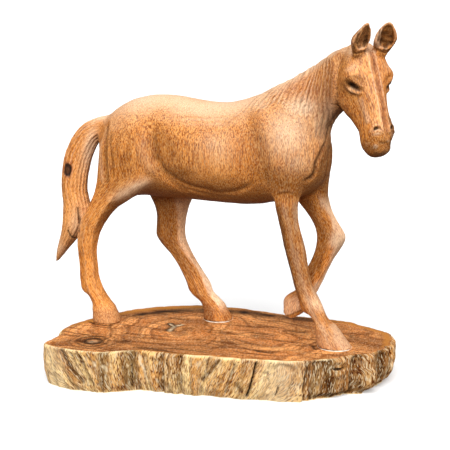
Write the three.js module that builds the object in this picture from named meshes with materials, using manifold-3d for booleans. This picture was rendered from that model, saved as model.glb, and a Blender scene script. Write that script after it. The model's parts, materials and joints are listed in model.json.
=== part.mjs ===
// A carved wooden horse walking with its head turned to one side, glued on a slab of live-edge wood.
// Millimetres, +Z up. The horse faces +X and the side that it turns its head to faces -Y.
import * as THREE from "three";
import { mergeVertices } from "three/addons/utils/BufferGeometryUtils.js";
import Module from "manifold-3d";

const wasm = await Module();
wasm.setup();

// Driving dimensions. Heights on the horse are measured from the top of the slab.
const SLAB_THICKNESS = 38;
const GLUE_GAP = 0.3; // between a hoof's sole and the slab
const LEG_LINE = 21; // a leg's distance from the horse's middle plane
const HOOF_HALF_WIDTH = 13;
const CANNON_HALF_WIDTH = 8;
const BARREL_HALF_WIDTH = 36;
const HEAD_TURN = THREE.MathUtils.degToRad(-46); // about the vertical, towards -Y
const HEAD_PITCH = THREE.MathUtils.degToRad(24); // of the face, forward from the vertical
const POLL = new THREE.Vector3(130.5, -16, 264.5); // top of the head, between the ears
const EAR_LENGTH = 27;
const EAR_LEAN = THREE.MathUtils.degToRad(46); // forward of the head's own upright
const LOCK_COUNT = 10; // locks of mane along the neck
const LOCK_RELIEF = 1.5;
const LOCK_FALL = 0.1; // share of the neck that a lock falls back by, for each radian down its side
const LOCK_ENDS = [1.4, 2]; // radians down from the crest over which the locks die out
const LOCK_STARTS = [0.08, 0.25]; // share of the neck over which they grow out of the withers
const TAIL_RIDGES = 7; // ridges of hair round the tail
const TAIL_RELIEF = 0.6;
const BARK_FLUTE = 2.2; // depth of the main flutes round the slab's edge

const HORSE_WOOD = new THREE.MeshStandardMaterial({ color: 0xc08850, roughness: 0.55, metalness: 0 });
const SLAB_WOOD = new THREE.MeshStandardMaterial({ color: 0xa8652f, roughness: 0.5, metalness: 0 });

// A smooth curve through points, with the same parameter for every curve that has as many points.
function curveThrough(points) {
  return new THREE.CatmullRomCurve3(points, false, "catmullrom", 0.5);
}

// A closed skin over rings of equally many points, with a middle point at each end.
function skin(rings, firstPole, lastPole) {
  const around = rings[0].length;
  const points = [...rings.flat(), firstPole, lastPole];
  const index = [];
  const at = (ring, step) => ring * around + (step % around);
  for (let ring = 0; ring + 1 < rings.length; ring++)
    for (let step = 0; step < around; step++) {
      index.push(at(ring, step), at(ring, step + 1), at(ring + 1, step + 1));
      index.push(at(ring, step), at(ring + 1, step + 1), at(ring + 1, step));
    }
  const last = rings.length - 1;
  for (let step = 0; step < around; step++) {
    index.push(points.length - 2, at(0, step + 1), at(0, step));
    index.push(points.length - 1, at(last, step), at(last, step + 1));
  }
  const geometry = new THREE.BufferGeometry().setFromPoints(points).setIndex(index);
  return volumeOf(geometry) < 0 ? turnedInsideOut(geometry) : geometry;
}

function volumeOf(geometry) {
  const corner = [0, 1, 2].map(() => new THREE.Vector3());
  const { array } = geometry.index;
  let sum = 0;
  for (let i = 0; i < array.length; i += 3) {
    corner.forEach((c, k) => c.fromBufferAttribute(geometry.attributes.position, array[i + k]));
    sum += corner[0].dot(corner[1].cross(corner[2])) / 6;
  }
  return sum;
}

function turnedInsideOut(geometry) {
  const { array } = geometry.index;
  for (let i = 0; i < array.length; i += 3) [array[i + 1], array[i + 2]] = [array[i + 2], array[i + 1]];
  return geometry;
}

// A point on a superellipse of unit size: squareness 2 is round, and more is boxier.
function squareRound(angle, squareness) {
  const bend = (v) => Math.sign(v) * Math.abs(v) ** (2 / squareness);
  return [bend(Math.cos(angle)), bend(Math.sin(angle))];
}

const DOME_RINGS = [0.86, 0.52]; // sizes of the rings that round off the end of a limb

// The sections of a limb. A row names two facing points of its outline, front and rear as [x, z], its place y
// across the horse, its half width, how far the section is turned about the vertical, and by what share
// it is pinched in at the front and let out at the rear. Between the rows the sections follow smooth curves.
class Limb {
  constructor(rows, { squareness = 2, relief = () => 0, sweep = () => 0 } = {}) {
    const outline = (side) => curveThrough(rows.map((r) => new THREE.Vector3(r[side][0], r.y, r[side][1])));
    this.front = outline("front");
    this.rear = outline("rear");
    this.sizes = curveThrough(rows.map((r) => new THREE.Vector3(r.side, r.turn ?? 0, r.pinch ?? 0)));
    this.squareness = squareness;
    this.relief = relief;
    this.sweep = sweep;
  }

  section(u) {
    const front = this.front.getPoint(u);
    const rear = this.rear.getPoint(u);
    const size = this.sizes.getPoint(u);
    const depth = front.clone().sub(rear).multiplyScalar(0.5);
    const across = new THREE.Vector3(0, 1, 0).applyAxisAngle(new THREE.Vector3(0, 0, 1), size.y);
    const deep = depth.clone().normalize();
    across.addScaledVector(deep, -across.dot(deep)).setLength(Math.max(size.x, 0.1));
    return { centre: front.add(rear).multiplyScalar(0.5), depth, across, pinch: size.z };
  }

  // A point of the surface. u runs from the first row to the last, and angle from the +Y side through
  // the front. The relief lifts or sinks the surface, and the sweep slides it along the limb.
  point(u, angle, swell = 1) {
    const { centre, depth, across, pinch } = this.section(u + this.sweep(u, angle));
    const [side, fore] = squareRound(angle, this.squareness);
    const out = depth.multiplyScalar(fore).addScaledVector(across, side * (1 - pinch * fore));
    out.setLength(out.length() * swell + this.relief(u, angle));
    return centre.add(out);
  }

  // The closed solid. A dome rounds an end off over that length.
  geometry(around, along, { firstDome = 0, lastDome = 0 } = {}) {
    const rings = [];
    const ring = (u, swell, shift) =>
      Array.from({ length: around }, (_, k) => this.point(u, (k * 2 * Math.PI) / around, swell).add(shift));
    const poles = {};
    const end = (u, dome) => {
      const inward = this.section(u === 0 ? 0.01 : 0.99).centre;
      const outward = this.section(u).centre.sub(inward).normalize();
      poles[u] = this.section(u).centre.addScaledVector(outward, dome);
      const rise = (swell) => outward.clone().multiplyScalar(dome * Math.sqrt(1 - swell * swell));
      return dome ? DOME_RINGS.map((swell) => ring(u, swell, rise(swell))) : [];
    };
    rings.push(...end(0, firstDome).reverse());
    for (let step = 0; step <= along; step++) rings.push(ring(step / along, 1, new THREE.Vector3()));
    rings.push(...end(1, lastDome));
    return skin(rings, poles[0], poles[1]);
  }
}

// A closed geometry as a solid that can be joined and cut.
function solid(geometry) {
  const bare = geometry.clone().deleteAttribute("normal").deleteAttribute("uv");
  const merged = mergeVertices(bare, 1e-4);
  const vertProperties = merged.attributes.position.array;
  const triVerts = new Uint32Array(merged.index.array);
  return new wasm.Manifold(new wasm.Mesh({ numProp: 3, vertProperties, triVerts }));
}

function meshOf(name, manifold, material) {
  const { vertProperties, triVerts } = manifold.getMesh();
  const geometry = new THREE.BufferGeometry();
  geometry.setAttribute("position", new THREE.BufferAttribute(new Float32Array(vertProperties), 3));
  geometry.setIndex(new THREE.BufferAttribute(new Uint32Array(triVerts), 1));
  const mesh = new THREE.Mesh(geometry, material);
  mesh.name = name;
  return mesh;
}

// An egg of three half sizes at a place, turned about its own y axis.
function egg(place, halfSizes, tilt = 0, detail = 8) {
  const shape = new THREE.SphereGeometry(1, detail, Math.round(detail * 0.6));
  shape.scale(...halfSizes).rotateY(tilt).translate(...place);
  return shape;
}

// Barrel, croup and chest. The front of a section is the back line and its rear the belly line.
function torso() {
  const row = (x, top, bottom, side) => ({ front: [x, top], rear: [x, bottom], y: 0, side });
  const rows = [
    row(-121, 182, 146, 13), // buttocks
    row(-112, 195.5, 130, 24),
    row(-95, 207, 122, 31),
    row(-75, 213, 120, 34), // croup
    row(-52, 214, 119.5, 33.5),
    row(-26, 210.5, 119, 34.5), // loin
    row(0, 209, 118.5, BARREL_HALF_WIDTH),
    row(22, 215, 118.5, BARREL_HALF_WIDTH),
    row(42, 221, 121, 35), // withers
    row(62, 219, 126, 33.5), // shoulders
    row(78, 206, 133, 29),
    row(89, 190, 143, 20), // breast
  ];
  return new Limb(rows, { squareness: 2.15 }).geometry(22, 20, { firstDome: 4, lastDome: 6 });
}

// The mane covers the neck from the crest most of the way down each side, in rounded locks with grooves
// between them. Each lock falls back along the neck on its way down.
const downFromCrest = (angle) => Math.acos(Math.sin(angle));

function maneRelief(u, angle) {
  const low = THREE.MathUtils.smoothstep(downFromCrest(angle), ...LOCK_ENDS);
  const start = THREE.MathUtils.smoothstep(u, ...LOCK_STARTS);
  const groove = 1 - Math.abs(Math.cos(Math.PI * LOCK_COUNT * u));
  return -LOCK_RELIEF * (1 - low) * start * groove;
}

function maneSweep(u, angle) {
  return -LOCK_FALL * downFromCrest(angle) * Math.sin(Math.PI * u);
}

// Neck from the withers to the poll. The front of a section is the crest and its rear the throat.
function neck() {
  const rows = [
    { front: [26, 214], rear: [70, 128], y: 0, side: 29 },
    { front: [42, 225], rear: [89, 150], y: 0, side: 30 },
    { front: [55, 231], rear: [93.5, 168], y: -0.5, side: 26 },
    { front: [70, 239.5], rear: [93, 183], y: -2, side: 22 },
    { front: [86, 249], rear: [97, 195], y: -4, side: 19.5, turn: HEAD_TURN * 0.25 },
    { front: [103, 259.5], rear: [104, 205], y: -7, side: 18.5, turn: HEAD_TURN * 0.6 },
    { front: [117, 263], rear: [115, 217], y: -9, side: 16, turn: HEAD_TURN * 0.9 },
    { front: [126, 258], rear: [122, 232], y: -9, side: 10, turn: HEAD_TURN }, // inside the head
  ];
  const mane = { relief: maneRelief, sweep: maneSweep };
  return new Limb(rows, { squareness: 2.1, ...mane }).geometry(20, 4 * LOCK_COUNT);
}

// Legs, from inside the body down to the hoof's sole. The front of a section is the leg's front outline.
const LEGS = {
  nearFore: [
    { front: [84, 168], rear: [42, 160], y: -17, side: 13 }, // shoulder
    { front: [74, 136], rear: [49, 134], y: -19, side: 12 }, // elbow
    { front: [72, 120], rear: [54, 117], y: -LEG_LINE, side: 10 },
    { front: [74, 105], rear: [58, 103], y: -LEG_LINE, side: 9 },
    { front: [79, 87], rear: [62, 83], y: -LEG_LINE, side: 8.7 }, // knee
    { front: [82, 70], rear: [67, 66], y: -LEG_LINE, side: CANNON_HALF_WIDTH },
    { front: [86, 54], rear: [72, 49], y: -LEG_LINE, side: 7.6 },
    { front: [95, 38], rear: [77, 36], y: -LEG_LINE, side: 8.6 }, // fetlock
    { front: [101, 25], rear: [85, 23], y: -LEG_LINE, side: 8.4 }, // pastern
    { front: [109, 18], rear: [90, 14], y: -LEG_LINE, side: 10.5 },
    { front: [123, GLUE_GAP], rear: [93, GLUE_GAP], y: -LEG_LINE, side: HOOF_HALF_WIDTH },
  ],
  farFore: [
    { front: [93, 162], rear: [50, 152], y: 15, side: 12 },
    { front: [89, 132], rear: [58, 124], y: 18, side: 11.5 }, // elbow
    { front: [91, 115], rear: [67, 114], y: 20, side: 10.5 },
    { front: [97, 103], rear: [75.5, 103], y: 20, side: 9.6 },
    { front: [105, 91], rear: [79, 92], y: 20, side: 9.4 }, // bent knee
    { front: [103, 82], rear: [78.5, 81], y: 20, side: 9 },
    { front: [95, 69], rear: [75, 69], y: 20, side: CANNON_HALF_WIDTH },
    { front: [88, 54], rear: [70, 59], y: 20, side: 7.6 },
    { front: [82, 41], rear: [63, 48], y: 20, side: 8 }, // fetlock
    { front: [76, 30], rear: [55, 39], y: 20, side: 8.6 },
    { front: [71, 22], rear: [49, 31], y: 20, side: 10 },
    { front: [64, 9], rear: [49, 15], y: 20, side: 11 }, // sole, clear of the slab
  ],
  nearHind: [
    { front: [-60, 200], rear: [-102, 196], y: -10, side: 13 },
    { front: [-47, 172], rear: [-117, 172], y: -16, side: 19.5 }, // thigh
    { front: [-56, 140], rear: [-120.5, 146], y: -17, side: 17.5 },
    { front: [-82, 122], rear: [-123, 124], y: -19, side: 13.5 },
    { front: [-102, 109], rear: [-129, 110], y: -20, side: 11.5 },
    { front: [-117, 90], rear: [-138, 94], y: -LEG_LINE, side: 10 },
    { front: [-122, 75], rear: [-141, 77], y: -LEG_LINE, side: 9.4 }, // hock
    { front: [-122, 59], rear: [-140, 56], y: -LEG_LINE, side: CANNON_HALF_WIDTH },
    { front: [-120.5, 43], rear: [-139.5, 38], y: -LEG_LINE, side: 8.4 },
    { front: [-116, 30], rear: [-137, 28], y: -LEG_LINE, side: 9 }, // fetlock
    { front: [-110, 21], rear: [-128, 18.5], y: -LEG_LINE, side: 8.6 }, // pastern
    { front: [-105, 12.5], rear: [-127, 10], y: -LEG_LINE, side: 10.5 },
    { front: [-100, GLUE_GAP], rear: [-127, GLUE_GAP], y: -LEG_LINE, side: HOOF_HALF_WIDTH },
  ],
  farHind: [
    { front: [-52, 200], rear: [-98, 196], y: 10, side: 13 },
    { front: [-40, 166], rear: [-112, 166], y: 16, side: 19 }, // thigh
    { front: [-37, 136], rear: [-104, 140], y: 17.5, side: 17 },
    { front: [-39, 120], rear: [-89, 122], y: 18.5, side: 14 }, // stifle
    { front: [-47, 105], rear: [-79.5, 105], y: 20, side: 11.5 },
    { front: [-50.5, 90], rear: [-78.5, 90], y: LEG_LINE, side: 10 },
    { front: [-50, 76], rear: [-79, 75], y: LEG_LINE, side: 9.4 }, // hock
    { front: [-45, 63], rear: [-67, 63], y: LEG_LINE, side: 8.6 },
    { front: [-36, 48], rear: [-55, 46], y: LEG_LINE, side: CANNON_HALF_WIDTH },
    { front: [-27, 36], rear: [-49, 33], y: LEG_LINE, side: 8 },
    { front: [-21, 25.5], rear: [-43.5, 23], y: LEG_LINE, side: 9 }, // fetlock
    { front: [-15, 18.5], rear: [-35, 17], y: LEG_LINE, side: 8.6 }, // pastern
    { front: [-10, 12], rear: [-31, 10], y: LEG_LINE, side: 10.5 },
    { front: [-3.5, GLUE_GAP], rear: [-31, GLUE_GAP], y: LEG_LINE, side: HOOF_HALF_WIDTH },
  ],
};

function leg(rows) {
  return new Limb(rows, { squareness: 2.3 }).geometry(12, 20);
}

// Tail, arched out of the croup and carved on to the near hind leg. Ridges of hair run along it.
function tail() {
  const rows = [
    { front: [-104, 176], rear: [-106, 197], y: 0, side: 8 },
    { front: [-118, 175], rear: [-125, 191], y: 0, side: 9 },
    { front: [-128, 166], rear: [-141, 184], y: -1, side: 10 },
    { front: [-135, 151], rear: [-153.5, 170], y: -3, side: 11 },
    { front: [-138, 136], rear: [-161, 149], y: -6, side: 11.5 },
    { front: [-138, 119], rear: [-162, 128], y: -9, side: 11.5 },
    { front: [-134, 106], rear: [-160, 110], y: -11, side: 11.5 },
    { front: [-136, 90], rear: [-161, 90], y: -12, side: 11 },
    { front: [-145, 78], rear: [-164, 76], y: -12, side: 9 },
    { front: [-156, 66], rear: [-168.5, 62], y: -12, side: 6 },
    { front: [-165, 55], rear: [-170.5, 51], y: -12, side: 2.5 },
  ];
  const dock = 0.12; // share of the tail that is smooth, next to the croup
  const relief = (u, angle) => (u < dock ? 0 : TAIL_RELIEF * Math.cos(TAIL_RIDGES * angle));
  return new Limb(rows, { relief }).geometry(2 * TAIL_RIDGES, 20, { lastDome: 2 });
}

// The head hangs from the poll along -z with its face on +x, and is then pitched, turned and put in place.
const HEAD_PLACE = new THREE.Matrix4()
  .makeTranslation(POLL)
  .multiply(new THREE.Matrix4().makeRotationZ(HEAD_TURN))
  .multiply(new THREE.Matrix4().makeRotationY(-HEAD_PITCH));

function inHead(geometry) {
  return solid(geometry.applyMatrix4(HEAD_PLACE));
}

// Swellings of the skull on both sides of the face: where each one lies along the head and round from
// the side to the front, how far it spreads each way, and how high it stands.
const SWELLINGS = [
  { along: 0.315, round: 0.58, length: 0.062, breadth: 0.36, rise: 3.6 }, // brow
  { along: 0.81, round: 0.62, length: 0.06, breadth: 0.4, rise: 1.3 }, // wing of the nostril
];

function skullRelief(u, angle) {
  const round = angle > Math.PI / 2 ? Math.PI - angle : angle;
  const lift = ({ along, round: middle, length, breadth, rise }) =>
    rise * Math.exp(-(((u - along) / length) ** 2) - ((round - middle) / breadth) ** 2);
  return SWELLINGS.reduce((sum, swelling) => sum + lift(swelling), 0);
}

function skull() {
  const row = (down, face, jaw, side, pinch) => {
    return { front: [face, -down], rear: [-jaw, -down], y: 0, side, pinch };
  };
  const rows = [
    row(-3, -8, 26, 12, 0), // poll
    row(7, -1, 35, 18, -0.05),
    row(16, 0, 41, 20.5, -0.1), // forehead
    row(26, 0, 45.5, 21, -0.1),
    row(36, 0.5, 46, 18.5, 0.2), // cheeks
    row(46, 1, 42, 15.5, 0.28),
    row(58, 0.8, 34.5, 12.5, 0.2), // nose
    row(70, 0.3, 28.5, 12, 0.02), // nostrils
    row(79, -1.5, 28, 10.8, 0),
    row(87, -5.5, 25, 8.5, 0), // lips
  ];
  const domes = { firstDome: 4, lastDome: 5 };
  return new Limb(rows, { squareness: 2.6, relief: skullRelief }).geometry(28, 22, domes);
}

// A pricked ear: a blunt leaf that leans forward, with its hollow turned to the front and a little inward.
// It grows out of the skull, so its leaf starts below the root.
function ear(side) {
  const axis = new THREE.Vector3(Math.sin(EAR_LEAN), side * 0.04, Math.cos(EAR_LEAN)).normalize();
  const open = new THREE.Vector3(Math.cos(EAR_LEAN), side * -0.3, -Math.sin(EAR_LEAN));
  open.addScaledVector(axis, -open.dot(axis)).normalize();
  const width = axis.clone().cross(open);
  const root = new THREE.Vector3(-1, side * 10.5, -6);
  const leaf = ({ from, to, wide, thick, forward }) => {
    const middle = (t) => root.clone().addScaledVector(axis, EAR_LENGTH * t).addScaledVector(open, forward);
    const steps = 7;
    const rings = [];
    for (let k = 0; k < steps; k++) {
      const t = from + ((to - from) * k) / (steps - 0.6);
      const spread = Math.sin(Math.PI * (0.22 + 0.78 * Math.max(t, 0))) ** 0.6 * (1 + Math.min(t, 0));
      const rim = (i) => squareRound((i * Math.PI) / 4, 2);
      const place = ([w, o]) =>
        middle(t).addScaledVector(width, w * wide * spread).addScaledVector(open, o * thick * spread);
      rings.push(Array.from({ length: 8 }, (_, i) => place(rim(i))));
    }
    return skin(rings, middle(from), middle(to));
  };
  const outer = leaf({ from: -0.3, to: 1, wide: 9, thick: 4.6, forward: 0 });
  const hollow = leaf({ from: 0.16, to: 0.92, wide: 6.8, thick: 3.8, forward: 3.6 });
  return inHead(outer).subtract(inHead(hollow));
}

function head() {
  let made = inHead(skull());
  for (const side of [-1, 1]) {
    made = made.add(ear(side));
    made = made.subtract(inHead(egg([-9, side * 19, -33], [5.8, 4.6, 2.8], 0.35))); // socket
    made = made.add(inHead(egg([-9.5, side * 14.6, -33], [4, 1.9, 2.2], 0.35, 6))); // eyeball
    made = made.subtract(inHead(egg([-1, side * 8.6, -71.5], [3, 2.4, 2.4], -0.5, 6))); // nostril
    made = made.subtract(inHead(egg([-24.5, side * 12, -66.5], [1.6, 3, 1.8], 0, 6))); // corner of the mouth
  }
  return made;
}

function horse() {
  let made = solid(torso()).add(solid(neck())).add(head());
  for (const rows of Object.values(LEGS)) made = made.add(solid(leg(rows)));
  return made.add(solid(tail()));
}

// The slab's rim, seen from above in the horse's own x and y, as the tree grew it.
const RIM = [
  [-137, -103], [-113, -109], [-84, -108], [-68, -99], [-48, -91], [-14, -89], [30, -83], [74, -75],
  [104, -64], [130, -40], [150, -20], [154, 8], [147, 33], [120, 46], [98, 55], [50, 55], [-8, 61],
  [-48, 57], [-78, 43], [-107, 20], [-126, -10], [-142, -46], [-138, -78],
];

function slab() {
  const around = 132;
  const corners = RIM.map(([x, y]) => new THREE.Vector3(x, y, 0));
  const rim = new THREE.CatmullRomCurve3(corners, true, "catmullrom", 0.5);
  const middle = new THREE.Vector3(5, -24, 0);
  const outline = rim.getSpacedPoints(around).slice(0, around);
  const flute = (step, depth) => {
    const turn = (step * 2 * Math.PI) / around;
    const broad = Math.sin(17 * turn + 2 * Math.sin(3 * turn));
    const narrow = Math.sin(41 * turn + 1.3 * Math.sin(7 * turn));
    return depth * BARK_FLUTE * (0.6 * broad + 0.36 * narrow);
  };
  // Each level of the edge: height, how far it stands in from the rim, and how deep its flutes are.
  const levels = [
    { z: -SLAB_THICKNESS, inset: 5, depth: 0.9 },
    { z: -SLAB_THICKNESS * 0.8, inset: 2.6, depth: 1 },
    { z: -SLAB_THICKNESS * 0.45, inset: 1, depth: 1.1 },
    { z: -SLAB_THICKNESS * 0.14, inset: 0.8, depth: 0.8 },
    { z: -1.5, inset: 0.6, depth: 0.5 },
    { z: 0, inset: 2, depth: 0.4 },
  ];
  const rings = levels.map(({ z, inset, depth }) =>
    outline.map((point, step) => {
      const inward = middle.clone().sub(point).normalize();
      return point.clone().addScaledVector(inward, inset + flute(step, depth)).setZ(z);
    }),
  );
  const pole = (z) => middle.clone().setZ(z);
  return solid(skin(rings, pole(-SLAB_THICKNESS), pole(0)));
}

const sculpture = new THREE.Group();
sculpture.add(meshOf("base_slab", slab(), SLAB_WOOD), meshOf("horse", horse(), HORSE_WOOD));
const box = new THREE.Box3().setFromObject(sculpture);
const middle = box.getCenter(new THREE.Vector3());
sculpture.position.set(-middle.x, -middle.y, -box.min.z);

const part = new THREE.Group();
part.add(sculpture);
export default part;
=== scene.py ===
"""Dresses a carved wooden horse that stands on a slab of live-edge wood.

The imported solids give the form. The horse starts from its own solid, is brought to a fine mesh and is then
carved: muscle, creases, mane, tail and face. The slab is turned out of a plain disc that follows its solid,
with the flutes, cracks and knots of a tree's outside. Lengths are in millimetres in the horse's own frame:
x along the horse to its breast, y across it, z up from the slab's top.
"""
import itertools
import json
import logging
import math
from collections.abc import Sequence
from dataclasses import dataclass
from enum import Enum

import bpy
import numpy as np
from bpy.types import Material, Node, NodeSocket, NodeTree, Object
from mathutils import Matrix, Vector

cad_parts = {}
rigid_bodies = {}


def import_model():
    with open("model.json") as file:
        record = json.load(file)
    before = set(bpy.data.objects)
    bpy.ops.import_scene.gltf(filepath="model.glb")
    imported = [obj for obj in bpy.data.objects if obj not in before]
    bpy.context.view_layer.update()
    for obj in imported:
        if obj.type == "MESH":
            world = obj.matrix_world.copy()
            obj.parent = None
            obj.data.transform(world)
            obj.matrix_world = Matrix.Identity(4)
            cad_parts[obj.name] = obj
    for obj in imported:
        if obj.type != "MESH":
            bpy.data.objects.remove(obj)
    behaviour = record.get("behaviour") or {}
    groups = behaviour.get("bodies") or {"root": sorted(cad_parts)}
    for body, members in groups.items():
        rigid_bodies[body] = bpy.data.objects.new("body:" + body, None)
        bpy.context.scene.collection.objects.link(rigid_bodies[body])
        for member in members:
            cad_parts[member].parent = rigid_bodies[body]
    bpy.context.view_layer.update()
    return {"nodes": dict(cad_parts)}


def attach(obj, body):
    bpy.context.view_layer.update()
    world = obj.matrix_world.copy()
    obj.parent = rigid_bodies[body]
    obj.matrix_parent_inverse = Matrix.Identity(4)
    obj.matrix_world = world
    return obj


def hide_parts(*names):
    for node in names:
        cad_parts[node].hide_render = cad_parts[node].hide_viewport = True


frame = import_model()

LOG = logging.getLogger("carved_horse")

MM = 0.001
HORSE_ORIGIN = np.array((7.183, 23.901, 38.0))  # the horse's own origin in the part's frame

VIEW_AZIMUTH = 20.0  # of the camera, from the side of the horse towards its breast

Pair = tuple[float, float]
Point = tuple[float, float, float]
Run = Sequence[tuple[float, ...]]


class Side(Enum):
    """A side of the horse, as the sign of its y."""

    NEAR = -1
    FAR = 1


class Blend(Enum):
    """How a layer of tone is laid over what is under it."""

    MIX = "MIX"
    MULTIPLY = "MULTIPLY"
    SCREEN = "SCREEN"


# Small tools for arrays and lines


def ramp(low: float, high: float, values: np.ndarray) -> np.ndarray:
    """Rises smoothly from 0 at low to 1 at high, or falls where low is above high."""
    share = np.clip((values - low) / (high - low), 0.0, 1.0)
    return share * share * (3.0 - 2.0 * share)


def hill(values: np.ndarray, half_width: float) -> np.ndarray:
    """A bell of height 1 over the values, which falls to about a third at the half width."""
    return np.exp(-((values / half_width) ** 2))


def band(values: np.ndarray, start: float, full: float, ebb: float, end: float) -> np.ndarray:
    """Rises smoothly from 0 at its start to 1 where it is full, and falls from its ebb to 0 at its end."""
    return ramp(start, full, values) * ramp(end, ebb, values)


def wander(points: np.ndarray, size: float, seed: int) -> np.ndarray:
    """Smooth noise between -1 and 1.

    Args:
        points: Rows of coordinates in millimetres.
        size: How far apart its lumps are, in millimetres.
        seed: Which noise of its kind it is.

    Returns:
        One value for each point.
    """
    cells = points / size
    corner = np.floor(cells).astype(np.int64)
    part = cells - corner
    part = part * part * (3.0 - 2.0 * part)
    total = np.zeros(len(points))
    for step in itertools.product((0, 1), repeat=3):
        x, y, z = (corner + step).T
        mixed = (x * 73856093) ^ (y * 19349663) ^ (z * 83492791) ^ (seed * 40503001)
        mixed = (mixed ^ (mixed >> 13)) * 1274126177
        value = ((mixed ^ (mixed >> 16)) & 0xFFFF) / 32767.5 - 1.0
        total += value * np.prod(np.where(step, part, 1.0 - part), axis=1)
    return total


def smooth_run(run: Sequence[Sequence[float]], steps: int = 8) -> np.ndarray:
    """A smooth curve through the points of a run.

    Args:
        run: The points, of any number of coordinates.
        steps: How many stretches each span is cut into.

    Returns:
        The curve's points, one row each.
    """
    ends = np.asarray(run, float)
    ends = np.vstack((2 * ends[0] - ends[1], ends, 2 * ends[-1] - ends[-2]))
    curve = []
    for before, start, end, after in zip(ends, ends[1:], ends[2:], ends[3:]):
        for share in np.arange(steps) / steps:
            bend = (2 * before - 5 * start + 4 * end - after) * share**2
            twist = (3 * start - before - 3 * end + after) * share**3
            curve.append(start + 0.5 * ((end - before) * share + bend + twist))
    return np.array([*curve, ends[-2]])


def off_run(points: np.ndarray, run: Run) -> tuple[np.ndarray, np.ndarray]:
    """How far points lie from a smooth line, and where along it.

    Args:
        points: Rows of two coordinates.
        run: The line's points.

    Returns:
        The distance of each point, and the share of the line that lies before its nearest place.
    """
    curve = smooth_run(run)
    nearest = np.full(len(points), 1e9)
    share = np.zeros(len(points))
    for index, (start, end) in enumerate(zip(curve, curve[1:])):
        span = end - start
        along = np.clip((points - start) @ span / (span @ span), 0.0, 1.0)
        gap = np.linalg.norm(points - start - along[:, None] * span, axis=1)
        closer = gap < nearest
        nearest[closer] = gap[closer]
        share[closer] = (index + along[closer]) / (len(curve) - 1)
    return nearest, share


# Small tools for Blender


def linear(colour: str) -> tuple[float, float, float, float]:
    """Turns an sRGB hex colour into linear red, green, blue and alpha."""
    parts = [int(colour[i : i + 2], 16) / 255 for i in (1, 3, 5)]
    red, green, blue = (p / 12.92 if p <= 0.04045 else ((p + 0.055) / 1.055) ** 2.4 for p in parts)
    return red, green, blue, 1.0


def per_mm(size: float) -> float:
    """The texture scale, on Object coordinates in metres, that repeats about every size millimetres."""
    return 1.0 / (size * MM)


def add_node(tree: NodeTree, kind: str, settings: dict | None = None, **inputs: object) -> Node:
    """Adds one node to a material.

    Args:
        tree: The material's node tree.
        kind: The node's type.
        settings: Properties of the node.
        **inputs: Values, or sockets to link, by the input's name with _ for a space, or in0, in1 by place.

    Returns:
        The node.
    """
    node = tree.nodes.new(kind)
    for name, value in (settings or {}).items():
        setattr(node, name, value)
    for name, value in inputs.items():
        place = int(name[2:]) if name[:2] == "in" and name[2:].isdigit() else name.replace("_", " ")
        if isinstance(value, NodeSocket):
            tree.links.new(value, node.inputs[place])
        else:
            node.inputs[place].default_value = value
    return node


def activate(piece: Object) -> None:
    """Selects one piece alone and makes it the active one."""
    for other in bpy.context.view_layer.objects:
        other.select_set(False)
    piece.select_set(True)
    bpy.context.view_layer.objects.active = piece


class Surface:
    """A mesh held as arrays, so that it can be shaped point by point, as a carver would."""

    def __init__(self, piece: Object) -> None:
        """Reads the mesh of a piece."""
        self.piece = piece
        mesh = piece.data
        places = np.empty(len(mesh.vertices) * 3)
        mesh.vertices.foreach_get("co", places)
        self.points = places.reshape(-1, 3) / MM - HORSE_ORIGIN
        ends = np.empty(len(mesh.edges) * 2, np.int32)
        mesh.edges.foreach_get("vertices", ends)
        self.starts, self.ends = ends.reshape(-1, 2).T
        size = len(self.points)
        self.degree = np.bincount(self.starts, minlength=size) + np.bincount(self.ends, minlength=size)
        self.normals = self.points
        self.settle()

    def settle(self) -> None:
        """Writes the points back to the mesh and reads its normals."""
        mesh = self.piece.data
        places = (self.points + HORSE_ORIGIN) * MM
        mesh.vertices.foreach_set("co", places.ravel())
        mesh.update()
        normals = np.empty(len(mesh.vertices) * 3)
        mesh.vertex_normals.foreach_get("vector", normals)
        self.normals = normals.reshape(-1, 3)

    def around(self, values: np.ndarray) -> np.ndarray:
        """The mean of each point's neighbours, for one column of values or several."""
        columns = values.reshape(len(self.points), -1).T
        size = len(self.points)
        sums = [
            np.bincount(self.starts, column[self.ends], size)
            + np.bincount(self.ends, column[self.starts], size)
            for column in columns
        ]
        return (np.stack(sums, axis=1) / self.degree[:, None]).reshape(values.shape)

    def soften(self, rounds: np.ndarray) -> None:
        """Sands the surface.

        Args:
            rounds: For each point, how many rounds it is moved half way to its neighbours' mean.
        """
        for turn in range(math.ceil(rounds.max())):
            share = 0.5 * np.clip(rounds - turn, 0.0, 1.0)
            self.points = self.points + share[:, None] * (self.around(self.points) - self.points)
        self.settle()

    def lift(self, heights: np.ndarray, chosen: np.ndarray | slice = slice(None)) -> None:
        """Moves the chosen points out along their normals by their heights, or in where negative."""
        points = self.points.copy()
        points[chosen] += heights[:, None] * self.normals[chosen]
        self.points = points
        self.settle()

    def hollows(self, rounds: int) -> np.ndarray:
        """How deep each point lies below the surface round it, over a reach that grows with the rounds."""
        blurred = self.points
        for _ in range(rounds):
            blurred = self.around(blurred)
        return np.einsum("ij,ij->i", blurred - self.points, self.normals)

    def paint(self, name: str, values: np.ndarray) -> None:
        """Keeps one value between 0 and 1 for each point, for a material to read."""
        mesh = self.piece.data
        layer = mesh.attributes.get(name) or mesh.attributes.new(name, "FLOAT", "POINT")
        layer.data.foreach_set("value", np.clip(values, 0.0, 1.0).astype(np.float32))

    def paint_vector(self, name: str, values: np.ndarray) -> None:
        """Keeps one vector for each point, for a material to read."""
        layer = self.piece.data.attributes.new(name, "FLOAT_VECTOR", "POINT")
        layer.data.foreach_set("vector", values.astype(np.float32).ravel())


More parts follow.
